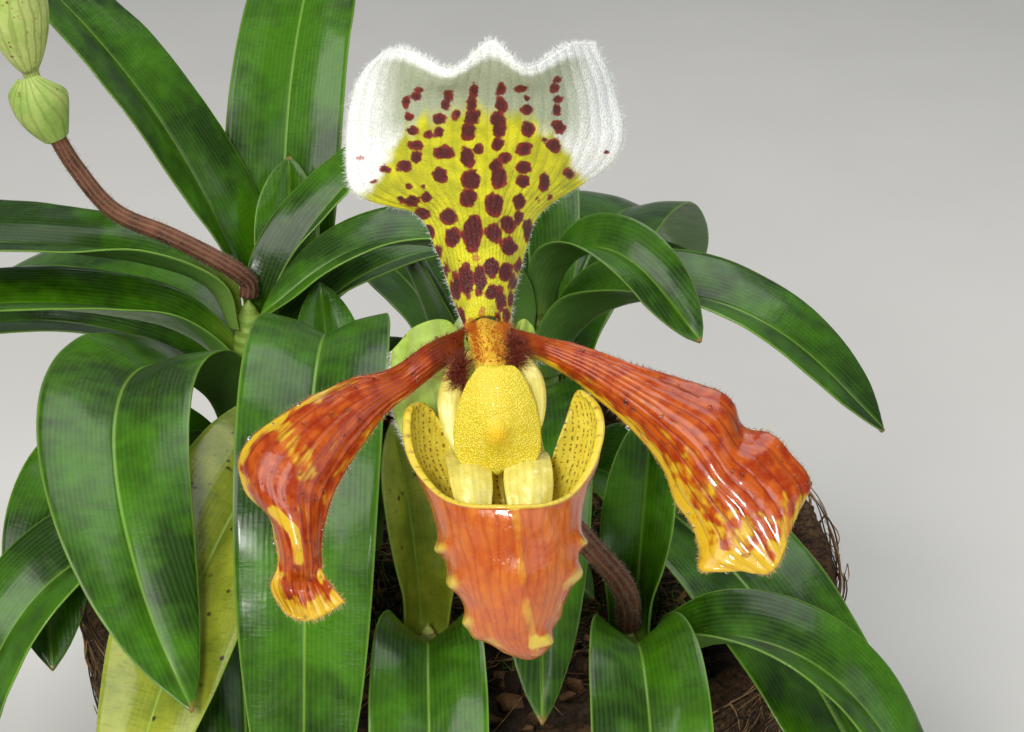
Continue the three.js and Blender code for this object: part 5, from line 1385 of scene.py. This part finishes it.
class ORCHID_OT_pouch(Operator):
    """Makes the slipper-shaped pouch"""
    bl_idname = "orchid.pouch"
    bl_label = "Pouch"

    def execute(self, context):
        angle = np.linspace(0, 360, 200, endpoint=False)
        rim = read_table(POUCH_RIM, 1, np.where(angle > 180, 360 - angle, angle))
        rim = rim + 2.4 * np.exp(-(((angle - 118) / 20) ** 2))

        def surface(inset, share, toe):
            height = toe + (rim - toe) * share[:, None] ** 1.35
            half, middle, front, back = (read_table(POUCH_PROFILE, c, height) for c in (1, 2, 3, 4))
            depth = (back - front) / 2
            inset = np.asarray(inset).reshape(-1, 1)
            return place_of(middle + (half - inset) * np.sin(np.radians(angle)),
                            (front + back) / 2 - (depth - inset) * np.cos(np.radians(angle)), height)
        share = np.linspace(0.01, 0.985, 96) ** 1.1
        turn = np.radians(np.array([0, 30, 60, 90, 120, 150, 180]))
        outer = surface(0 * share, share, POUCH_TOE - 0.4)
        lip = surface(POUCH_WALL / 2 - (POUCH_WALL / 2 + 0.25) * np.cos(turn), 0.985 + 0.015 * np.sin(turn),
                      POUCH_TOE - 0.4)
        inner = surface(np.full(60, POUCH_WALL), np.linspace(0.98, 0.02, 60), POUCH_TOE + POUCH_WALL)
        rings = np.concatenate([outer, lip, inner])
        level = np.concatenate([share, np.ones(len(turn)), np.linspace(0.98, 0.02, 60)])[:, None]
        outside = np.concatenate([np.ones(len(outer)), np.linspace(1, 0, len(lip)), np.zeros(len(inner))])[:,
                None]
        x, z = as_seen(rings)
        signed = np.where(angle > 180, angle - 360, angle)
        wart = 0 * x
        for spot in POUCH_WARTS:
            wart = wart + 1.45 * np.exp(-((x - spot[0]) ** 2 + (z - spot[1]) ** 2) / spot[2] ** 2)
        wart = wart * ease(140, 100, np.abs(signed))[None]
        # The keel: a low ridge down the pouch's front; the gold painted along it is a painted highlight on that
        # ridge.
        keel_and_highlight = (0.4 * brush(x, z, [(5.2, -34), (6.4, -42.6), (7.4, -52.6), (9.6, -64)], 1.5)
                * (np.abs(signed) < 60))
        swell = wart + 0.3 * keel_and_highlight + 0.5 * noise(rings, 7, 93, 2) + 0.12 * noise(rings * [1, 1, 0.4], 1.7, 94, 2)
        out = unit(np.cross(np.gradient(rings, axis=0), np.roll(rings, -1, 1) - np.roll(rings, 1, 1)))
        if (out[len(outer) // 2, 0] @ np.array([0, -1.0, 0])) < 0:
            out = -out
        rings = rings + out * (swell * outside * ease(1.0, 0.94, level))[..., None]
        points, quads, triangles = skin(rings)
        flat = lambda a: np.concatenate([np.broadcast_to(a, rings.shape[:2]).ravel(), [0.0, 0.0]])
        blot = ease(0.25, 0.6, noise(rings, 5, 95, 2)) * 0.45
        # Gold: the rim, warts and blotches in their own yellow, and down the keel a painted highlight.
        gold = np.clip(keel_and_highlight + wart * 0.5 + ease(0.975, 0.992, level) + blot + 0 * rings[..., 0], 0, 1)
        piece("pouch_surface", in_flower(points), quads, triangles, pouch_finish("pouch"), "pouch", "pouch",
              place=place_of(flat(signed / 180), flat(rings[..., 2]), flat(outside)),
              paint=place_of(flat(gold), flat(1 - outside), flat(0 * gold)))
        waxy = flank_finish("pouch_flap")
        u, v = spaced(40, 0.01), spaced(36, 0.012)
        for hand, net in FLAP_NETS.items():
            lobe = net_surface(net, u, v)
            lobe[..., 1] += 0.5 * noise(lobe, 3, 96, 2)
            half = 0.45 * rounded(u, 0.03)[:, None] * rounded(v, 0.04)[None]
            points, quads, spread, side = sheet(lobe, half)
            piece(f"pouch_flap_{hand}", in_flower(points), quads, [], waxy, "pouch",
                  place=along_sheet(spread, u, v, 20, side))
        return {"FINISHED"}


class ORCHID_OT_column(Operator):
    """Makes the column with its shield-shaped staminode and woolly sides"""
    bl_idname = "orchid.column"
    bl_label = "Column"

    def execute(self, context):
        centre, _, normal, other = rail(COLUMN_AXIS, 60)
        angle = np.linspace(0, 2 * np.pi, 48, endpoint=False)
        way = np.linspace(0, 1, 60)
        radius = (3.9 - 0.8 * way) * rounded(way, 0.05).clip(0.2)
        radius = radius[:, None] * (1 + 0.05 * np.cos(5 * angle))
        rod = (centre[:, None] + radius[..., None]
               * (normal[:, None] * np.cos(angle)[:, None] + other[:, None] * np.sin(angle)[:, None]))
        rod_points, rod_quads, rod_tris = skin(rod)
        edge = spaced(60, 0.01) * 2 - 1
        a, b = edge[None] + 0 * edge[:, None], edge[:, None] + 0 * edge[None]
        u, v = a * np.sqrt(1 - b * b / 2), b * np.sqrt(1 - a * a / 2)
        boss = 1.8 * np.exp(-((u * u + (v + 0.28) ** 2) / 0.05))
        half = np.interp(b, SHIELD_OUTLINE[0], SHIELD_OUTLINE[1])
        tooth = 0.9 * np.exp(-((a / 0.16) ** 2)) * ease(-0.7, -1, b)
        dish = 3 * (u * u + v * v) - 2 * v
        shield = place_of(2.1 + half * a, -14.6 + dish - boss,
                          -17 + SHIELD_SIZE[1] * (b + 0.08 * (1 - b * b) * a * a) - tooth)
        shield[..., 1] -= 0.5 * noise(shield, 1.5, 101, 2) * (1 - np.hypot(u, v))
        reach = 1 - np.clip(np.maximum(np.abs(a), np.abs(b)), 0, 1)
        points, quads, spread, side = sheet(shield, 0.7 * np.sqrt(1 - (1 - np.clip(reach / 0.06, 0, 1)) ** 2),
                (0, -1, 0))
        start = len(rod_points)
        both = np.concatenate([rod_points, points])
        is_rod = np.concatenate([np.ones(start), 1 - side])
        on_boss = np.concatenate([np.zeros(start), spread(np.exp(-((u * u + (v + 0.28) ** 2) / 0.035)))])
        volume = np.einsum("ij,ij->i", points[quads[:, 0]],
                np.cross(points[quads[:, 1]], points[quads[:, 2]])).sum()
        rod_volume = np.einsum("ij,ij->i", rod_points[rod_quads[:, 0]],
                np.cross(rod_points[rod_quads[:, 1]], rod_points[rod_quads[:, 2]])).sum()
        if volume * rod_volume < 0:
            quads = quads[:, ::-1]
        piece("column_surface", in_flower(both), np.concatenate([rod_quads, quads + start]), rod_tris,
              column_finish("column"), "column", "column",
              paint=place_of(on_boss, is_rod, 0 * is_rod))
        cream = flank_finish("column_flank")
        for hand, way in FLANKS.items():
            stalk(f"column_flank_{hand}", in_flower(way), lambda w,
                  a: (0.5 + 1.55 * np.sin(np.pi * w**0.8)) * (1 - 0.25 * np.cos(2 * a)), cream, "column", (),
                  70)
        rng = np.random.default_rng(103)
        count = WOOL_COUNT
        middle = np.array([[-4.7, -6.2, -8.6], [4.9, -6.0, -5.0]])[(rng.uniform(size=count) > 0.6).astype(int)]
        hand = np.sign(middle[:, :1])
        out = unit(rng.normal(size=(count, 3)) * [0.5, 0.8, 1.0]
                   + place_of(0.5 * hand[:, 0], np.full(count, -0.9), np.zeros(count)))
        root = middle + out * [2.3, 1.3, 3.9] * rng.uniform(0.55, 1, (count, 1))
        way = unit(out + rng.normal(0, 0.35, (count, 3)) + [0, -0.2, 0.1])
        points, quads, triangles = hairs(root, way, rng.uniform(1.2, 2.5, count), 0.1, 104, 0.9, 5)
        piece("column_wool", in_flower(points), quads, triangles,
              hair_finish("maroon_wool", "3f120c", "94402a"), "column", place=strand_values(count, 5, 105))
        count = BRISTLE_COUNT
        at, turn = 0.01 + 0.62 * rng.uniform(size=count) ** 1.8, rng.normal(-np.pi / 2, 1.0, count)
        k = (at * 59).astype(int)
        out = unit(place_of(np.cos(turn), np.sin(turn), 0.55 + 0 * turn))
        points, quads, triangles = hairs(centre[k] + out * (3.7 - 0.8 * at)[:, None],
                unit(out + rng.normal(0, 0.25, (count, 3))), rng.uniform(0.8, 2.0, count) * (1.2 - at), 0.09,
                        106, 0.5)
        piece("column_bristles", in_flower(points), quads, triangles,
              hair_finish("orange_bristle", "a3270c", "e88a18"), "column", place=strand_values(count, 4, 107))
        return {"FINISHED"}


def stalk(name, points, radius, finish, slot, replaced, stations=160, sides=28):
    """A round stalk along a smooth curve; radius is a function of the way along and the angle."""
    centre, _, normal, other = rail(points, stations)
    way, angle = np.linspace(0, 1, stations)[:, None], np.linspace(0, 2 * np.pi, sides, endpoint=False)
    spokes = normal[:, None] * np.cos(angle)[:, None] + other[:, None] * np.sin(angle)[:, None]
    rings = centre[:, None] + (radius(way, angle) * rounded(way, 0.01).clip(0.25))[..., None] * spokes
    skin_points, quads, triangles = skin(rings)
    flat = lambda a, ends: np.concatenate([np.broadcast_to(a, rings.shape[:2]).ravel(), ends])
    piece(name, skin_points, quads, triangles, finish, slot, replaced,
          place=place_of(flat(np.abs(angle / np.pi - 1), [0.0, 0.0]), flat(way * 100, [0.0, 100.0]),
                         np.zeros(len(skin_points))))
    return centre, spokes


def down(name, centre, spokes, radius, count, length, finish, slot, seed):
    """Short down standing out from a stalk, at random places along and round it."""
    rng = np.random.default_rng(seed)
    k, j = rng.integers(2, len(centre) - 2, count), rng.integers(0, spokes.shape[1], count)
    out = spokes[k, j]
    root = centre[k] + out * (radius * 0.96)
    way = unit(out + rng.normal(0, 0.3, (count, 3)))
    points, quads, triangles = hairs(root, way, length * rng.uniform(0.5, 1.2, count), 0.045, seed, 0.4)
    return piece(name, points, quads, triangles, finish, slot, place=strand_values(count, 4, seed))


def bract_piece(name, points, radius, finish, replaced):
    """A bract: a sheet folded round its stalk, as in the part. It reaches round by an angle that shrinks with
    the way, at a distance that swells as a half sine."""
    u, v = spaced(60, 0.006), spaced(50, 0.008)
    centre, _, normal, other = rail(points, 400)
    k = np.clip((u * 399).astype(int), 0, 399)
    reach = np.pi * (0.86 - 0.7 * u**1.6)
    spread_out = radius * (0.64 + 0.9 * np.sin(np.pi * u * 0.8))
    angle = reach[:, None] * (2 * v - 1)
    sheet_centre = centre[k][:, None] + spread_out[:, None, None] * (
        normal[k][:, None] * np.cos(angle)[..., None] + other[k][:, None] * np.sin(angle)[..., None])
    half = 0.35 * rounded(u, 0.02)[:, None] * rounded(v, 0.02)[None]
    mesh_points, quads, spread, side = sheet(sheet_centre, half)
    piece(name, mesh_points, quads, [], finish, "bract", replaced,
          place=along_sheet(spread, u, v, 30, side))


class ORCHID_OT_stalks(Operator):
    """Makes the scapes, the ovary, the bracts and the bud"""
    bl_idname = "orchid.stalks"
    bl_label = "Scapes, Ovary and Bud"

    def execute(self, context):
        brown, grey = scape_finish("scape"), hair_finish("grey_down", "6d5a50", "b9a99a")
        way = scape_points(0, "front", [(41, -80, 183), (26, -88, 207), (13, -86, 230)],
                [in_flower((0, 64, -5.8)), in_flower((0, 56.5, -4.75))])
        line = stalk("scape_surface", way, lambda w, a: 3 - 0.5 * w + 0 * a, brown, "scape", "scape", 220)
        down("scape_down", *line, 2.75, 3000, 0.9, grey, "scape", 111)
        ovary = stalk("ovary_surface", in_flower(OVARY_AXIS), lambda w,
                      a: (2.6 + 1.5 * np.sin(np.pi * (0.15 + 0.75 * w))) * (1 + 0.1 * np.cos(6 * a)),
                      soft_green_finish("ovary", "6f6a3a", "5b2a1c", "8a5a3c"), "ovary", "ovary", 120, 48)
        down("ovary_down", *ovary, 3.8, 1800, 0.8, grey, "ovary", 112)
        green = soft_green_finish("bract", "8fb052", "6b4a2a", "b4c46c")
        bract_piece("bract_surface", in_flower([(0, 60, -5.3), (0, 46, -3), (0, 30, -1.6), (0, 20, -1)]), 5.2,
                    green, "bract")
        way = scape_points(5, "left", [(-64, 32, 219), (-78, 34, 226), (-94, 38, 232), (-104, 40, 244)],
                [(-110, 40, 256)])
        line = stalk("scape_bud_surface", way, lambda w, a: 2.6 - 0.3 * w + 0 * a, brown, "scape", "scape_bud",
                     160)
        down("scape_bud_down", *line, 2.4, 1800, 0.9, grey, "scape", 113)
        line = stalk("bud_surface", [(-110.2, 40, 256.5), (-114, 39, 272), (-116, 36, 290), (-115, 30, 308)],
                     lambda w, a: 2.2 + 6.4 * np.sin(np.pi * np.maximum(0, (w - 0.3) / 0.7)) ** 0.8
                     * (1 + 0.05 * np.cos(3 * a)), soft_green_finish("bud", "a9c060", "8a5a34", "c8d27e"),
                     "bud", "bud", 140, 48)
        down("bud_down", *line, 2.2, 500, 0.8, grey, "bud", 114)
        bract_piece("bract_bud_surface", [(-108.6, 40, 252.6), (-111.6, 39.6, 261), (-114, 39, 272)], 4.9,
                    green, "bract_bud")
        return {"FINISHED"}


class ORCHID_PT_panel(Panel):
    """Lists the pieces of the orchid and their sizes"""
    bl_idname = "ORCHID_PT_panel"
    bl_label = "Slipper Orchid"
    bl_space_type = "VIEW_3D"
    bl_region_type = "UI"
    bl_category = "Orchid"

    def draw(self, context):
        for operator in OPERATORS:
            self.layout.operator(operator.bl_idname)
        for key, group in SETTINGS.items():
            box = self.layout.box()
            for name in group.__annotations__:
                box.prop(getattr(context.scene, key), name)


SETTINGS = {"orchid_pot": OrchidPotSizes, "orchid_leaves": OrchidLeafSizes, "orchid_flower": OrchidFlowerSizes,
            "orchid_stage": OrchidStageSizes}
OPERATORS = (ORCHID_OT_stage, ORCHID_OT_pot, ORCHID_OT_filling, ORCHID_OT_growths, ORCHID_OT_dorsal_sepal,
             ORCHID_OT_synsepal, ORCHID_OT_petals, ORCHID_OT_pouch, ORCHID_OT_column, ORCHID_OT_stalks)


def register():
    for each in (*SETTINGS.values(), *OPERATORS, ORCHID_PT_panel):
        bpy.utils.register_class(each)
    for key, group in SETTINGS.items():
        setattr(bpy.types.Scene, key, PointerProperty(type=group))


def unregister():
    for key in SETTINGS:
        delattr(bpy.types.Scene, key)
    for each in (ORCHID_PT_panel, *OPERATORS, *SETTINGS.values()):
        bpy.utils.unregister_class(each)


def main():
    register()
    for operator in OPERATORS:
        getattr(bpy.ops.orchid, operator.bl_idname.split(".")[1])()
    bpy.context.view_layer.update()


if __name__ == "__main__":
    main()
